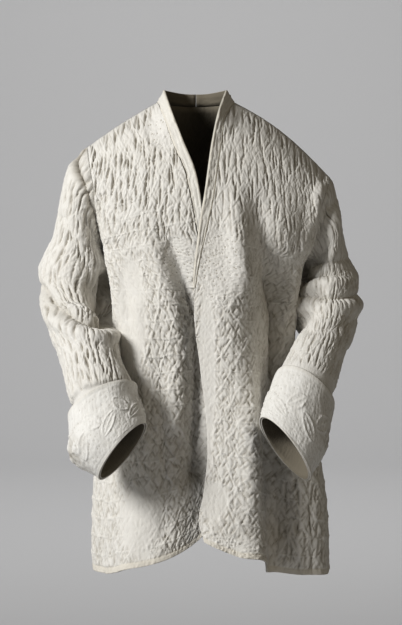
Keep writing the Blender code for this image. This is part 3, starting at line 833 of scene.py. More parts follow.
def shell_faces(inner, outer, closed):
    """Faces of the outer grid, of the coarse lining, and of the edges between them."""
    rows, wide = outer.shape[:2]
    coarse_rows, coarse_wide = inner[::COARSE, ::COARSE].shape[:2]
    number = np.arange(rows * wide).reshape(rows, wide)
    lining = rows * wide + np.arange(coarse_rows * coarse_wide).reshape(coarse_rows, coarse_wide)
    if closed:
        number = np.concatenate([number, number[:, :1]], axis=1)
        lining = np.concatenate([lining, lining[:, :1]], axis=1)
    i, j = rows // 2, wide // 3
    facing = np.cross(outer[i, j + 1] - outer[i, j], outer[i + 1, j] - outer[i, j])
    turned = facing @ (outer[i, j] - inner[i, j]) < 0
    faces = grid_faces(rows, wide, closed, 0, turned)
    faces += grid_faces(coarse_rows, coarse_wide, closed, rows * wide, not turned)
    edges = [(number[0], lining[0], turned), (number[-1], lining[-1], not turned)]
    if not closed:
        edges.append((number[:, 0], lining[:, 0], not turned))
        edges.append((number[:, -1], lining[:, -1], turned))
    for fine, coarse, flip in edges:
        for triangle in boundary_strip(fine.tolist(), coarse.tolist()):
            faces.append(triangle if flip else triangle[::-1])
    return faces


def placed(name, data):
    """An object in the scene for a mesh, a light or a camera."""
    holder = bpy.data.objects.new(name, data)
    bpy.context.scene.collection.objects.link(holder)
    return holder


def shell(name, inner, outer, places, closed, marks, material):
    """A piece of cloth from grids of its inner and outer points, with places on the cloth in millimetres."""
    lining = inner[::COARSE, ::COARSE]
    points = np.concatenate([outer.reshape(-1, 3), lining.reshape(-1, 3)]) * MM
    mesh = bpy.data.meshes.new(name)
    mesh.from_pydata(points.tolist(), [], shell_faces(inner, outer, closed))
    mesh.polygons.foreach_set("use_smooth", np.ones(len(mesh.polygons), bool))
    cloth_places = np.concatenate([places.reshape(-1, 2), places[::COARSE, ::COARSE].reshape(-1, 2)]) * MM
    loops = np.zeros(len(mesh.loops), np.int32)
    mesh.loops.foreach_get("vertex_index", loops)
    mesh.uv_layers.new(name="cloth").data.foreach_set("uv", cloth_places[loops].ravel())
    # The inside mark picks out the lining, which the materials paint dark as shade
    lined = np.ones(lining.shape[:2])
    for mark, values in (*marks.items(), ("inside", 0 * outer[..., 0])):
        both = np.concatenate([values.ravel(), (lined * (mark == "inside")).ravel()])
        mesh.attributes.new(mark, "FLOAT", "POINT").data.foreach_set("value", both)
    mesh.materials.append(material)
    return placed(name, mesh)


def toward(out, seam, share):
    """Directions turned to those of a seam, by a share that is 1 on the seam."""
    return unit(out * (1 - share[..., None]) + seam * share[..., None])


# Stippled grounds on the fronts and back, as ovals from the front: middle, half width, half height
STIPPLED = {
    -1: columns("x z wide high", (-50, -46, 30, 32), (-30, -262, 26, 46)),
    1: columns("x z wide high", (40, -265, 32, 62), (50, -730, 46, 34)),
    0: columns("x z wide high", (0, -120, 60, 40)),
}
# Patches of the fronts where the quilting is worn nearly flat
CALM = {
    -1: columns("x z wide high", (-104, -350, 24, 100), (-86, -680, 34, 60)),
    1: columns("x z wide high", (18, -440, 14, 150), (30, -640, 22, 30)),
}
# Strips of the fronts, low at the sides, where the puckers are deeper
ROUGH = {
    -1: columns("x z wide high", (-150, -680, 22, 110)),
    1: columns("x z wide high", (178, -690, 40, 120)),
}
OVAL_START = 0.85
OVAL_FADE = 0.3
CALM_SHARE = 0.75
ROUGH_PUCKERED = 0.8

# The hem: its width, stitching and waves, and the step where the right front drops
HEM_WIDTH = 9.0
HEM_SOFT = 2.5
HEM_RISE = 0.7
HEM_PLAIN = 0.7
STITCH_HALF = 1.3
STITCH_DEEP = 0.9
HEM_WAVE = 7.0
WAVE_LONG = 30.0
WAVE_ROWS = 9.0
WAVE_START = 0.86
HEM_STEP = 11.0
HEM_STEP_X = 111.0
STEP_SHARP = 6.0
STEP_LEVEL = 20.0
STEP_FADE = 80.0
STEP_START = 0.88

# Seams and free cloth: lengths over which the cloth comes free of a side, front edge, top or seam
SIDE_FREE = 14.0
EDGE_FREE = 20.0
TOP_FREE = 25.0
HEAD_FREE = 9.0
SEAM_EASE = 6.0
PIT_FADE = 0.05
SEAM_PLAIN = 0.8
SHOULDER_LEAN = (0.42, 0.9)
THINNEST = 0.9
SETTLING = 220
BODY_MIDDLE = np.array([0, 0, -400.0])
BACK_CELLS = 40

# Points down and across, or along and round, on each piece
FRONT_GRID = (433, 205)
BACK_GRID = (257, 209)
SLEEVE_GRID = (289, 300)
CUFF_GRID = (97, 216)


def oval_share(ovals, points):
    """1 inside the ovals of a table and 0 outside, softly."""
    share = np.zeros(points.shape[:-1])
    for x, z, wide, high in zip(*ovals.values()):
        away = np.hypot((points[..., 0] - x) / wide, (points[..., 2] - z) / high)
        share = np.maximum(share, 1 - eased((away - OVAL_START) / OVAL_FADE))
    return share


def seam_way(side, points, down):
    """Directions that both sides of the seam at a side stand along: round the armhole, then level."""
    level = eased((down - pit_down(side)) / PIT_FADE)[..., None]
    return unit(armhole_out(side, points) * (1 - level) + np.array([side, 0, 0]) * level)


# Flowers on the fronts and back: middle and reach, number of petals, and the cords round them
FLOWERS = {
    -1: columns("x z reach", (-28, -694, 17), (-66, -716, 12), (-4, -726, 10)),
    1: columns("x z reach", (52, -706, 18), (24, -690, 11), (84, -728, 12), (40, -322, 10)),
    0: columns("x z reach", (0, -690, 18)),
}
PETALS = 6
PETAL_MIDDLE = 0.6
PETAL_HALF = 1.5
PETAL_RISE = 2.2
PETAL_OVER = 0.7


def flower_share(side, points):
    """1 along the cords that outline the petals of the flowers."""
    share = np.zeros(points.shape[:-1])
    for x, z, reach in zip(*FLOWERS[side].values()):
        aside, above = points[..., 0] - x, points[..., 2] - z
        waved = np.cos(PETALS * np.arctan2(above, aside))
        petals = reach * (PETAL_MIDDLE + (1 - PETAL_MIDDLE) * waved)
        share = np.maximum(share, bell(np.hypot(aside, above) - petals, PETAL_HALF))
    return share


def settled(base, share):
    """Rows of cloth evened out with the rows above and below, by a share for each point."""
    even = base.copy()
    for _ in range(SETTLING):
        even[1:-1] = (even[:-2] + 2 * even[1:-1] + even[2:]) / 4
    return base + (even - base) * share[..., None]


def hem_drop(base, down):
    """How far the hem drops past its step, fading to the side."""
    past = base[..., 0] - HEM_STEP_X
    step = eased(past / STEP_SHARP) * (1 - eased((past - STEP_LEVEL) / STEP_FADE))
    return HEM_STEP * step * eased((down - STEP_START) / (1 - STEP_START))


def panel_ways(side, base, down, out, by_side, by_top):
    """Directions of a panel's thickness, turned at its seams to those of the pieces that are sewn there."""
    on_left = base[..., 0] < 0
    for end in (-1, 1):
        if side != -end:
            out = toward(out, seam_way(end, base, down), by_side * (on_left == (end < 0)))
    sign = np.where(on_left, -1.0, 1.0)
    shoulder = unit(np.stack([SHOULDER_LEAN[0] * sign, 0 * sign, 0 * sign + SHOULDER_LEAN[1]], axis=-1))
    on_neck = np.abs(base[..., :1]) < NECK_X
    return toward(out, np.where(on_neck, neck_out(base), shoulder), by_top)


def panel_relief(side, base, across, down, sewn):
    """Height of a panel's quilting, flowers and hem, and the marks of its finish, with the shade painted into
    its slits.
    """
    from_hem = (1 - down) * -HEM_Z
    stippled = oval_share(STIPPLED[side], base)
    calm = CALM_SHARE * oval_share(CALM.get(side, {}), base)
    rough = ROUGH_PUCKERED * oval_share(ROUGH.get(side, {}), base)
    hemmed = 1 - eased((from_hem - HEM_WIDTH) / HEM_SOFT)
    plain = np.maximum(np.maximum(stippled, HEM_PLAIN * hemmed), np.maximum(SEAM_PLAIN * sewn, calm))
    puckered = LOW_PUCKERED + TOP_PUCKERED[side] * (1 - eased((down - PUCKERS_END) / TOP_FADE)) + rough
    starry = TOP_STARRY[side] + (LOW_STARRY - TOP_STARRY[side]) * eased((down - STARS_START) / TOP_FADE)
    cells, rows = across / CELL, down * ROWS
    seed = SEEDS["body"] + side
    height, sunk = quilting(cells, rows, across, down * -HEM_Z, puckered, starry, plain, seed)
    petals = flower_share(side, base)
    height = height * BODY_RELIEF[side] * (1 - PETAL_OVER * petals) + PETAL_RISE * petals
    stitched = bell(from_hem - HEM_WIDTH, STITCH_HALF)
    height = np.maximum(height + HEM_RISE * hemmed - STITCH_DEEP * stitched, THINNEST - WALL)
    return height, {"stippled": stippled, "worn": hemmed, "sunk": sunk}


def body_panel(name, side, grid, row_at, start_at, material):
    """A front or the back: rows of cloth, its creases, quilting, hem and seams."""
    rows, wide = grid
    downs = np.linspace(0, 1, rows)
    shares = np.linspace(0, 1, wide)
    base = np.stack([row_at(down, shares) for down in downs])
    lengths = run(base.swapaxes(0, 1))[-1]
    across = shares[None, :] * lengths[:, None] + start_at(base, lengths)[:, None]
    down = np.repeat(downs[:, None], wide, axis=1)
    from_top = down * -HEM_Z
    from_side = (1 - shares[None, :]) * lengths[:, None]
    from_edge = shares[None, :] * lengths[:, None]
    if side == 0:
        from_side = np.minimum(from_side, from_edge)
    loose = eased(from_side / SIDE_FREE)
    base = settled(base, loose * eased(from_edge / EDGE_FREE))
    out = grid_normals(base, False, BODY_MIDDLE)
    waves = (noise(across / WAVE_LONG, down * WAVE_ROWS, SEEDS["wave"] + side) - 0.5) * HEM_WAVE
    waves = waves * eased((down - WAVE_START) / (1 - WAVE_START))
    creased, painted_shade = crease_lift(name, base, out)
    inner = base + out * ((creased + waves) * loose * eased(from_top / TOP_FREE))[..., None]
    if side == 1:
        inner[..., 2] -= hem_drop(base, down)
    by_side = 1 - eased(from_side / SEAM_EASE)
    by_top = 1 - eased(from_top / SEAM_EASE)
    out = panel_ways(side, base, down, grid_normals(inner, False, BODY_MIDDLE), by_side, by_top)
    sewn = np.maximum(by_side, by_top)
    inner = inner + np.array([0, SEAM_GAP / 2, 0]) * (sewn * (1 if side == 0 else -1))[..., None]
    height, marks = panel_relief(side, base, across, down, sewn)
    # The creases' painted shade joins the shade painted into the slits
    marks["sunk"] = np.maximum(marks["sunk"], painted_shade)
    outer = inner + out * (WALL + height)[..., None]
    places = np.stack([across, from_top], axis=-1)
    return shell(f"{name}_cloth", inner, outer, places, False, marks, material)


def make_front(side, word, material):
    """A front, with its cells of quilting counted from the middle of the body."""

    def start_at(base, lengths):
        return np.abs(base[:, 0, 0])

    def row_at(down, shares):
        return front_row(side, down, shares)

    return body_panel(f"front_{word}", side, FRONT_GRID, row_at, start_at, material)


def make_back(material):
    """The back, with its cells of quilting counted from the middle of the body."""

    def start_at(base, lengths):
        middle = np.array([np.interp(0, row[:, 0], np.linspace(0, 1, len(row))) for row in base])
        return CELL * BACK_CELLS - middle * lengths

    return body_panel("back", 0, BACK_GRID, back_row, start_at, material)


def ring_angles(count):
    """Angles round a sleeve from the seam under the arm."""
    return np.pi + np.arange(count) * 2 * np.pi / count


def sleeve_grid(side, first, count, angles):
    """Rings of a sleeve from a section to its lower edge: sections, points, middles and the length."""
    last = len(SLEEVES[side]["y"]) - 1.0
    places_at, length = sleeve_places(side, first, last, count)
    points = np.stack([sleeve_ring(side, at, angles) for at in places_at])
    middles = np.stack([section_frame(sections(side), at)[0] for at in places_at])[:, None, :]
    return places_at, points, middles, length


# Sections over which a sleeve turns plain under its cuff
COVER_EASE = 0.3


def make_sleeve(side, word, material):
    """A sleeve: rings of cloth, its creases and quilting, plain where the cuff covers it."""
    rows, wide = SLEEVE_GRID
    angles = ring_angles(wide)
    places_at, base, middles, length = sleeve_grid(side, 0, rows, angles)
    lengths = np.linspace(0, length, rows)
    along = np.repeat(lengths[:, None], wide, axis=1)
    free = CUFFS[side]["free"] - CUFFS[side]["slant"]
    free_length = np.interp(free, places_at, lengths)
    bare = 1 - eased((np.repeat(places_at[:, None], wide, axis=1) - free) / COVER_EASE + 0.5)
    out = grid_normals(base, True, middles)
    creased, painted_shade = crease_lift(f"sleeve_{word}", base, out)
    inner = base + out * (creased * eased(along / HEAD_FREE) * bare)[..., None]
    on_seam = 1 - eased(along / SEAM_EASE)
    out = toward(grid_normals(inner, True, middles), armhole_out(side, base), on_seam)
    inner = inner + armhole_axis(side) * (SEAM_GAP * on_seam)[..., None]
    u = np.repeat((angles / (2 * np.pi) * RING_CELLS)[None, :], rows, axis=0)
    v = along / free_length * round(free_length / ROW_SPACING)
    drawn = run(base)
    s = u * CELL - HEAD_SLANT * np.minimum(drawn, HEAD_LONG) * np.sin(angles)
    flat = np.maximum(1 - bare, SEAM_PLAIN * on_seam)
    seed = SEEDS["sleeve"] + side
    height, sunk = quilting(u, v, s, drawn, SLEEVE_PUCKERED[side], SLEEVE_STARRY, flat, seed)
    outer = inner + out * np.maximum(WALL + height, THINNEST)[..., None]
    cloth = np.stack([u * CELL, along], axis=-1)
    nothing = np.zeros_like(along)
    # sunk carries the shade painted into the slits, strokes and creases
    marks = {"stippled": nothing, "worn": nothing, "sunk": np.maximum(sunk, np.minimum(painted_shade, 1))}
    return shell(f"sleeve_{word}_cloth", inner, outer, cloth, True, marks, material)


# The corner that sticks out at the outer side of each cuff, and its free edge that stands off
CORNER_LIFT = {-1: 9.0, 1: 3.0}
CORNER_TURN = 12.0
CORNER_SPREAD = 30.0
CORNER_WAY = 0.5
CORNER_REACH = 0.17
RIM_LIFT = {-1: 4.0, 1: 2.0}
RIM_START = 0.7
STAND_WAYS = np.array([0, 0.5, 1.0])
CUFF_SECTIONS = 240
CUFF_SPARE = 0.1

# The cuffs' crumples: depth, width, length, softness and seed, their share away from the corner and on it,
# the shade painted into them, the soft swelling under them, and the hem round both edges
CRUMPLES = columns("deep wide long soft seed", (0.9, 9, 15, 0.16, 50), (0.5, 6, 6, 0.18, 53))
CRUMPLED = 0.4
CORNER_CRUMPLED = 1.6
CRUMPLE_PAINTED_SHADE = 0.3
CRUMPLE_FREE = 9.0
SWELL = {"rise": 3.0, "wide": 26.0, "long": 34.0}
CUFF_HEM = 5.0
CUFF_HEM_RISE = 0.4
CUFF_HEM_SOFT = 2.0
CUFF_FADE = 4.0
CUFF_STIPPLED = 0.5
CUFF_WORN = 0.5


def cuff_stand(side, angles, ways):
    """How far a cuff stands off its sleeve from the fold to the free edge, and the share of its corner."""
    to_outer = (1 + np.cos(angles)) / 2
    stand_outer = smooth(STAND_WAYS, np.array(CUFFS[side]["stand_outer"]), ways)
    stand_inner = smooth(STAND_WAYS, np.array(CUFFS[side]["stand_inner"]), ways)
    aside = (np.degrees(angles) + 180) % 360 - 180
    corner = bell(aside - CORNER_TURN, CORNER_SPREAD) * bell(ways - CORNER_WAY, CORNER_REACH)
    stand = WALL + stand_outer * to_outer + stand_inner * (1 - to_outer)
    rim = RIM_LIFT[side] * eased((ways - RIM_START) / (1 - RIM_START))
    return stand + CORNER_LIFT[side] * corner + rim, corner


def cuff_base(side, angles, ways, stand):
    """Points of a cuff, which stand off the end of the sleeve under it."""
    free, slant = CUFFS[side]["free"], CUFFS[side]["slant"]
    fine_at, sleeve, middles, _ = sleeve_grid(side, free - slant - CUFF_SPARE, CUFF_SECTIONS, angles)
    sleeve_out = grid_normals(sleeve, True, middles)
    last = fine_at[-1]
    base = np.zeros((len(ways), len(angles), 3))
    for j, angle in enumerate(angles):
        at = last + (free + slant * np.cos(angle) - last) * ways
        for k in range(3):
            point = np.interp(at, fine_at, sleeve[:, j, k])
            base[:, j, k] = point + np.interp(at, fine_at, sleeve_out[:, j, k]) * stand[:, j]
    return base


def make_cuff(side, word, material):
    """A cuff turned back over the end of a sleeve, stippled, with leaves."""
    rows, wide = CUFF_GRID
    angles = ring_angles(wide)
    ways = np.linspace(0, 1, rows)
    stand, corner = cuff_stand(side, angles, ways[:, None])
    inner = cuff_base(side, angles, ways, stand)
    out = grid_normals(inner, True, inner.mean(axis=1, keepdims=True))
    round_length = run(inner[rows // 2])[-1]
    around = np.repeat(((angles / (2 * np.pi) - 0.5) * round_length)[None, :], rows, axis=0)
    length = run(inner)[-1].mean()
    up = np.repeat((ways * length)[:, None], wide, axis=1)
    edge = np.minimum(up, length - up)
    crumple = np.zeros_like(up)
    for deep, breadth, long, soft, seed in zip(*CRUMPLES.values()):
        crumple += deep * slit(noise(around / breadth, up / long, seed + side), soft)
    crumple = crumple * (CRUMPLED + CORNER_CRUMPLED * corner)
    swell = noise(around / SWELL["wide"], up / SWELL["long"], SEEDS["swell"] + side) - 0.5
    height = (SWELL["rise"] * swell - crumple) * eased(edge / CRUMPLE_FREE)
    height += leaves(around, up, length) + CUFF_HEM_RISE * (1 - eased((edge - CUFF_HEM) / CUFF_HEM_SOFT))
    outer = inner + out * np.maximum(CUFF_WALL + height, THINNEST)[..., None]
    marks = {
        "stippled": CUFF_STIPPLED * eased((edge - CUFF_HEM) / CUFF_FADE),
        "worn": CUFF_WORN * (1 - eased((edge - CUFF_HEM_SOFT) / CUFF_FADE)),
        # sunk carries the shade painted into the crumples
        "sunk": CRUMPLE_PAINTED_SHADE * crumple,
    }
    cloth = np.stack([around, up], axis=-1)
    return shell(f"cuff_{word}_cloth", inner, outer, cloth, True, marks, material)


# Leaves of the cuffs: spacing, half length and width, cords and veins, and their tilt, start and place up
LEAF_SPAN = 54.0
LEAF_LONG = 20.0
LEAF_WIDE = 8.5
LEAF_POINT = 4.0
LEAF_CORD = 1.3
LEAF_RISE = 1.5
VEIN_HALF = 1.1
VEIN_RISE = 1.0
LEAF_RINGS = columns("tilt start up", (0.7, 0.0, 0.42), (-0.7, 0.5, 0.6))


def leaves(around, up, length):
    """Outlines of pointed leaves in rings round a cuff, each with a vein."""
    height = np.zeros_like(around)
    for tilt, start, middle in zip(*LEAF_RINGS.values()):
        x = (around / LEAF_SPAN + start) % 1 * LEAF_SPAN - LEAF_SPAN / 2
        y = up - length * middle
        long = x * np.cos(tilt) + y * np.sin(tilt)
        wide = -x * np.sin(tilt) + y * np.cos(tilt)
        rim = LEAF_WIDE * (1 - np.clip(np.abs(long) / LEAF_LONG, 0, 1) ** 2)
        inside = eased((LEAF_LONG - np.abs(long)) / LEAF_POINT)
        cords = LEAF_RISE * bell(np.abs(wide) - rim, LEAF_CORD) + VEIN_RISE * bell(wide, VEIN_HALF)
        height += inside * cords
    return height


# Bands: points round half the neck, down the edge and across, the steps that give the front's direction
# there, the share down where the band lies flat on the front, and its puckers, rolled edges and stitching
NECK_POINTS = 41
EDGE_POINTS = 209
BAND_POINTS = 13
EDGE_STEP_ACROSS = 0.012
EDGE_STEP_DOWN = 0.004
FLAT_DOWN = 0.1
BAND_TURN = 0.4
BAND_WORN = 5.0
RIPPLE = {"rise": 1.7, "wide": 3.5, "long": 16.0, "drift": 40.0, "free": 3.0}
ROLLED = {"rise": 0.7, "at": 2.2, "half": 1.4}
SEWN_DOWN = {"rise": -0.5, "at": 4.6, "half": 0.9}


def band_seam(side):
    """Points along the neck seam and front edge, the band's width from each, and the directions out."""
    q = np.linspace(0, 1, DENSE)
    top = back_row(0, q)
    ends = np.array([BANDS[side][name][0] for name in "xyz"])
    seam, across, out = [], [], []
    for x in np.linspace(side * SEAM_GAP / 2, side * NECK_X, NECK_POINTS)[:-1]:
        point = back_row(0, np.interp([x], top[:, 0], q))[0]
        share = eased(abs(x) / NECK_X)
        seam.append(point)
        across.append(np.array(BACK_BAND) * (1 - share) + ends * share)
        out.append(neck_out(point))
    for down in np.linspace(0, BAND_ROWS / ROWS, EDGE_POINTS):
        point, beside = front_row(side, down, np.array([0.0, EDGE_STEP_ACROSS]))
        lower = front_row(side, down + EDGE_STEP_DOWN, np.array([0.0]))[0]
        panel = unit(np.cross(lower - point, beside - point)) * side
        share = eased(down / FLAT_DOWN)
        seam.append(point)
        across.append(np.array([float(column(BANDS[side], name, down)) for name in "xyz"]))
        out.append(unit(neck_out(point) * (1 - share) + panel * share))
    return np.array(seam), np.array(across), np.array(out)


def make_band(side, word, material):
    """A band from the middle of the back neck, up round the neck and down the front edge."""
    seam, across, out = band_seam(side)
    own = unit(np.cross(np.gradient(seam + across / 2, axis=0), across))
    own *= np.sign(np.einsum("ij,ij->i", own, out))[:, None]
    shares = np.linspace(0, 1, BAND_POINTS)
    gap = unit(across) * SEAM_GAP
    inner = seam[:, None, :] + across[:, None, :] * shares[None, :, None]
    inner = inner + gap[:, None, :] * (1 - shares)[None, :, None]
    turned = eased(shares / BAND_TURN)[None, :, None]
    way = unit(out[:, None, :] * (1 - turned) + own[:, None, :] * turned)
    width = np.linalg.norm(across, axis=1)
    s = shares[None, :] * width[:, None]
    t = np.repeat(run(seam)[:, None], BAND_POINTS, axis=1)
    edge = np.minimum(s, width[:, None] - s)
    slanted = s / RIPPLE["wide"] + t / RIPPLE["drift"]
    ripple = noise(slanted, t / RIPPLE["long"], SEEDS["ripple"] + side)
    height = (1 - np.abs(2 * ripple - 1)) ** 2 * RIPPLE["rise"] * eased(edge / RIPPLE["free"])
    for line in (ROLLED, SEWN_DOWN):
        height += line["rise"] * bell(edge - line["at"], line["half"])
    outer = inner + way * (BAND_WALL + height)[..., None]
    marks = {"stippled": np.zeros_like(s), "worn": 1 - eased(edge / BAND_WORN), "sunk": 0 * s}
    return shell(f"band_{word}_cloth", inner, outer, np.stack([s, t], axis=-1), False, marks, material)


# Materials


class Tone:
    """A shader socket that takes part in Python sums."""

    def __init__(self, finish, socket):
        self.finish = finish
        self.socket = socket

    def sum(self, operation, first, second):
        return self.finish.node("ShaderNodeMath", {"operation": operation}, {0: first, 1: second})

    def __add__(self, other):
        return self.sum("ADD", self, other)

    def __sub__(self, other):
        return self.sum("SUBTRACT", self, other)

    def __mul__(self, other):
        return self.sum("MULTIPLY", self, other)

    def __rsub__(self, other):
        return self.sum("SUBTRACT", other, self)

    def __pow__(self, other):
        return self.sum("POWER", self, other)

    __radd__ = __add__
    __rmul__ = __mul__


class Finish:
    """A material with its nodes."""

    def __init__(self, name):
        self.material = bpy.data.materials.new(name)
        self.material.use_nodes = True
        self.tree = self.material.node_tree
        self.shader = self.tree.nodes["Principled BSDF"]

    def node(self, kind, settings, values, output=0):
        """A node of a kind, with its settings, then the values or links of its sockets."""
        made = self.tree.nodes.new(kind)
        for name, value in settings.items():
            setattr(made, name, value)
        for name, value in values.items():
            self.put(made.inputs[name], value)
        return Tone(self, made.outputs[output])

    def put(self, socket, value):
        if isinstance(value, Tone):
            self.tree.links.new(value.socket, socket)
        else:
            socket.default_value = value

    def done(self, values):
        """The material, with the values or links of its shader."""
        for name, value in values.items():
            self.put(self.shader.inputs[name], value)
        return self.material

    def mix(self, share, first, second):
        """A colour between two colours."""
        colours = {0: share, 6: first, 7: second}
        return self.node("ShaderNodeMix", {"data_type": "RGBA"}, colours, 2)

    def mark(self, name):
        return self.node("ShaderNodeAttribute", {"attribute_name": name}, {}, "Fac")

    def noise(self, place, size, detail=2.0):
        values = {"Vector": place, "Scale": 1 / size, "Detail": detail, "Roughness": 0.55}
        return self.node("ShaderNodeTexNoise", {}, values, "Fac")


# Colours of painted shade: inside creases, slits and stippled pits, near black in the deepest slits, and on
# the lining
PAINTED_SHADE_TONE = (0.30, 0.26, 0.19)
DEEPEST_PAINTED_SHADE = (0.06, 0.05, 0.035)
LINING_PAINTED_SHADE = (0.16, 0.14, 0.105)

# Threads in a metre, and sizes in metres of crumples, stippled dots, clouds, specks and the relief of them
THREADS = 320.0
CRUMPLE_SIZE = 0.0045
CRUMPLE_DRAWN = (1, 0.35, 1)
DOT_SIZE = 0.0052
CLOUD_SIZE = 0.09
SPECK_SIZE = 0.012
RELIEF_DEEP = 0.0018
# How far from each stippled dot's middle shade is painted into its pit, and how sharply
PIT_REACH = 0.30
PIT_SHARP = 6.0

# How much of each there is in the relief and in the colour
RELIEF = {"threads": 0.04, "crumples": 0.9, "dots": 1.4}
# The pits, sunk and deepest shares say how much shade is painted into the colour
SHARES = {"specks": 0.25, "worn": 0.45, "pits": 0.75, "sunk": 0.85, "deepest": 0.7}
DEEPEST_SHARP = 4.0
ROUGHNESS = {"least": 0.88, "crumples": 0.08}

# Each cotton's colour, its colour where aged, and that of worn edges
COTTONS = {
    "quilted_ivory_cotton": ((0.79, 0.775, 0.745), (0.74, 0.715, 0.655), (0.66, 0.60, 0.48)),
    "band_cotton": ((0.78, 0.76, 0.715), (0.73, 0.70, 0.63), (0.66, 0.60, 0.48)),
    "stippled_cuff_cotton": ((0.84, 0.83, 0.80), (0.79, 0.775, 0.73), (0.70, 0.65, 0.54)),
}


def weave(finish, cloth):
    """Crumples and stippled dots of woven cotton, and its relief with the threads."""
    waves = []
    for direction in ("X", "Y"):
        settings = {"wave_type": "BANDS", "bands_direction": direction}
        values = {"Vector": cloth, "Scale": THREADS, "Distortion": 1.5, "Detail": 1.0, "Detail Scale": 2.0}
        waves.append(finish.node("ShaderNodeTexWave", settings, values, "Fac"))
    drawn = finish.node("ShaderNodeVectorMath", {"operation": "MULTIPLY"}, {0: cloth, 1: CRUMPLE_DRAWN})
    crumples = finish.noise(drawn, CRUMPLE_SIZE, 3.0)
    values = {"Vector": cloth, "Scale": 1 / DOT_SIZE, "Randomness": 0.85, "Smoothness": 0.4}
    dots = finish.node("ShaderNodeTexVoronoi", {"feature": "SMOOTH_F1"}, values, "Distance")
    relief = (waves[0] + waves[1]) * RELIEF["threads"] + crumples * RELIEF["crumples"]
    relief = relief + dots * finish.mark("stippled") * RELIEF["dots"]
    values = {"Strength": 0.7, "Distance": RELIEF_DEEP, "Height": relief}
    return crumples, dots, finish.node("ShaderNodeBump", {}, values, "Normal")


def cotton(name):
    """Matte woven cotton, clouded with age, with stippled grounds and yellowed hems and edges, and painted
    shade: dark in slits, creases and stippled pits, near black in the deepest slits, dark on the lining.
    """
    colour, aged, edge = COTTONS[name]
    finish = Finish(name)
    cloth = finish.node("ShaderNodeUVMap", {"uv_map": "cloth"}, {}, "UV")
    crumples, dots, bump = weave(finish, cloth)
    clamped = {"operation": "MULTIPLY", "use_clamp": True}
    pits = finish.node("ShaderNodeMath", clamped, {0: PIT_REACH - dots, 1: PIT_SHARP})
    sunk = finish.mark("sunk")
    layers = (
        (finish.noise(cloth, CLOUD_SIZE, 3.0), aged),
        (finish.noise(cloth, SPECK_SIZE, 2.0) * SHARES["specks"], aged),
        (finish.mark("worn") * SHARES["worn"], edge),
        # Painted shade: dark in the stippled pits, slits and creases, near black where the slits are deepest
        (pits * finish.mark("stippled") * SHARES["pits"], PAINTED_SHADE_TONE),
        (sunk * SHARES["sunk"], PAINTED_SHADE_TONE),
        (sunk**DEEPEST_SHARP * SHARES["deepest"], DEEPEST_PAINTED_SHADE),
        # The lining painted dark, as the shade inside the sleeves, cuffs and body
        (finish.mark("inside"), LINING_PAINTED_SHADE),
    )
    tone = (*colour, 1)
    for share, layer in layers:
        tone = finish.mix(share, tone, (*layer, 1))
    roughness = ROUGHNESS["least"] + crumples * ROUGHNESS["crumples"]
    values = {"Base Color": tone, "Roughness": roughness, "Specular IOR Level": 0.2, "Normal": bump}
    return finish.done(values)


def plain(name, colour, roughness):
    return Finish(name).done({"Base Color": (*colour, 1), "Roughness": roughness})


# The set, in metres: what the camera looks at, its degrees of rise and distance, and the height it takes in
TARGET = Vector((0.0083, 0.0, -0.3478))
CAMERA_RISE = 4.0
CAMERA_AWAY = 4.5
FRAME_TALL = 1.0375
SENSOR = 36.0
FLOOR_Z = -1.3

# The floor: half width, front end, where it starts to curve up, the curve and height of its back, and finish
FLOOR_HALF = 9.0
FLOOR_FRONT = -8.0
FLOOR_FLAT = 5.5
FLOOR_BEND = 2.0
FLOOR_HIGH = 7.0
FLOOR_STEPS = 17
FLOOR_COLOUR = (0.50, 0.50, 0.505)
FLOOR_ROUGH = 0.9

# Lights: place, what each points at, size in metres, watts and colour
LIGHTS = {
    "key_light": ((-2.7, -1.95, 1.3), TARGET, 1.2, 147, (1.0, 0.995, 0.985)),
    "fill_light": ((2.2, -2.4, 1.8), TARGET, 2.2, 13, (1.0, 0.87, 0.66)),
    "backdrop_light": ((0.0, 3.2, 3.4), Vector((0, 7.5, 0.2)), 3.5, 225, (1.0, 1.0, 1.0)),
}
WORLD_COLOUR = (0.84, 0.80, 0.72, 1)
WORLD_STRENGTH = 0.02


def aimed(holder, place, at):
    """Puts a light or camera in its place and points it."""
    holder.location = place
    holder.rotation_euler = (at - Vector(place)).to_track_quat("-Z", "Y").to_euler()


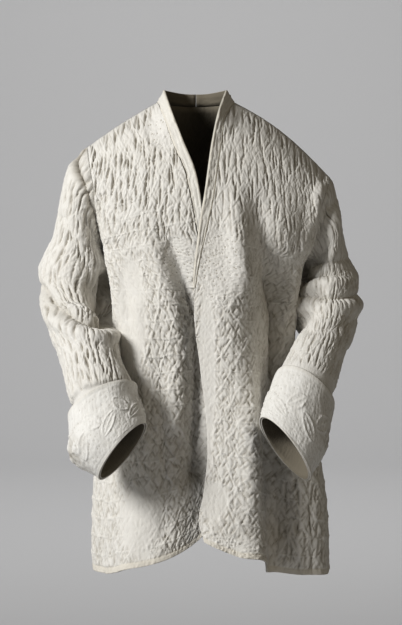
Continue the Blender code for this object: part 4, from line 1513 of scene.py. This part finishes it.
def make_floor():
    """A pale floor that curves up behind."""
    profile = [(FLOOR_FRONT, 0.0), (FLOOR_FLAT, 0.0)]
    for a in np.linspace(0, np.pi / 2, FLOOR_STEPS)[1:]:
        profile.append((FLOOR_FLAT + FLOOR_BEND * np.sin(a), FLOOR_BEND * (1 - np.cos(a))))
    profile.append((FLOOR_FLAT + FLOOR_BEND, FLOOR_HIGH))
    points = [(x, y, FLOOR_Z + z) for y, z in profile for x in (-FLOOR_HALF, FLOOR_HALF)]
    faces = [(2 * k, 2 * k + 1, 2 * k + 3, 2 * k + 2) for k in range(len(profile) - 1)]
    mesh = bpy.data.meshes.new("studio_floor")
    mesh.from_pydata(points, [], faces)
    mesh.polygons.foreach_set("use_smooth", np.ones(len(faces), bool))
    mesh.materials.append(plain("pale_floor", FLOOR_COLOUR, FLOOR_ROUGH))
    placed("studio_floor", mesh)


def make_set():
    """The floor, a camera at the jacket's front, and soft light from the left."""
    make_floor()
    scene = bpy.context.scene
    rise = np.radians(CAMERA_RISE)
    camera = placed("camera", bpy.data.cameras.new("camera"))
    camera.data.sensor_width = SENSOR
    camera.data.lens = SENSOR * CAMERA_AWAY / FRAME_TALL
    aimed(camera, TARGET + Vector((0, -np.cos(rise), np.sin(rise))) * CAMERA_AWAY, TARGET)
    scene.camera = camera
    for name, (place, at, size, power, colour) in LIGHTS.items():
        lamp = bpy.data.lights.new(name, "AREA")
        lamp.size = size
        lamp.energy = power
        lamp.color = colour
        aimed(placed(name, lamp), place, at)
    world = bpy.data.worlds.new("studio")
    world.use_nodes = True
    world.node_tree.nodes["Background"].inputs["Color"].default_value = WORLD_COLOUR
    world.node_tree.nodes["Background"].inputs["Strength"].default_value = WORLD_STRENGTH
    scene.world = world
    scene.view_settings.view_transform = "Standard"


def main():
    """Makes every piece, puts it under the root body, hides the imported part that it stands for, and makes
    the set.
    """
    quilted = cotton("quilted_ivory_cotton")
    binding = cotton("band_cotton")
    stippled = cotton("stippled_cuff_cotton")
    pieces = {"back": (make_back(quilted), "quilted_cotton")}
    for side, word in ((-1, "left"), (1, "right")):
        pieces[f"front_{word}"] = (make_front(side, word, quilted), "quilted_cotton")
        pieces[f"sleeve_{word}"] = (make_sleeve(side, word, quilted), "quilted_cotton")
        pieces[f"cuff_{word}"] = (make_cuff(side, word, stippled), "cuff_cotton")
        pieces[f"band_{word}"] = (make_band(side, word, binding), "band_cotton")
    for node, (piece, slot) in pieces.items():
        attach(piece, "root")
        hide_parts(node)
    make_set()


main()
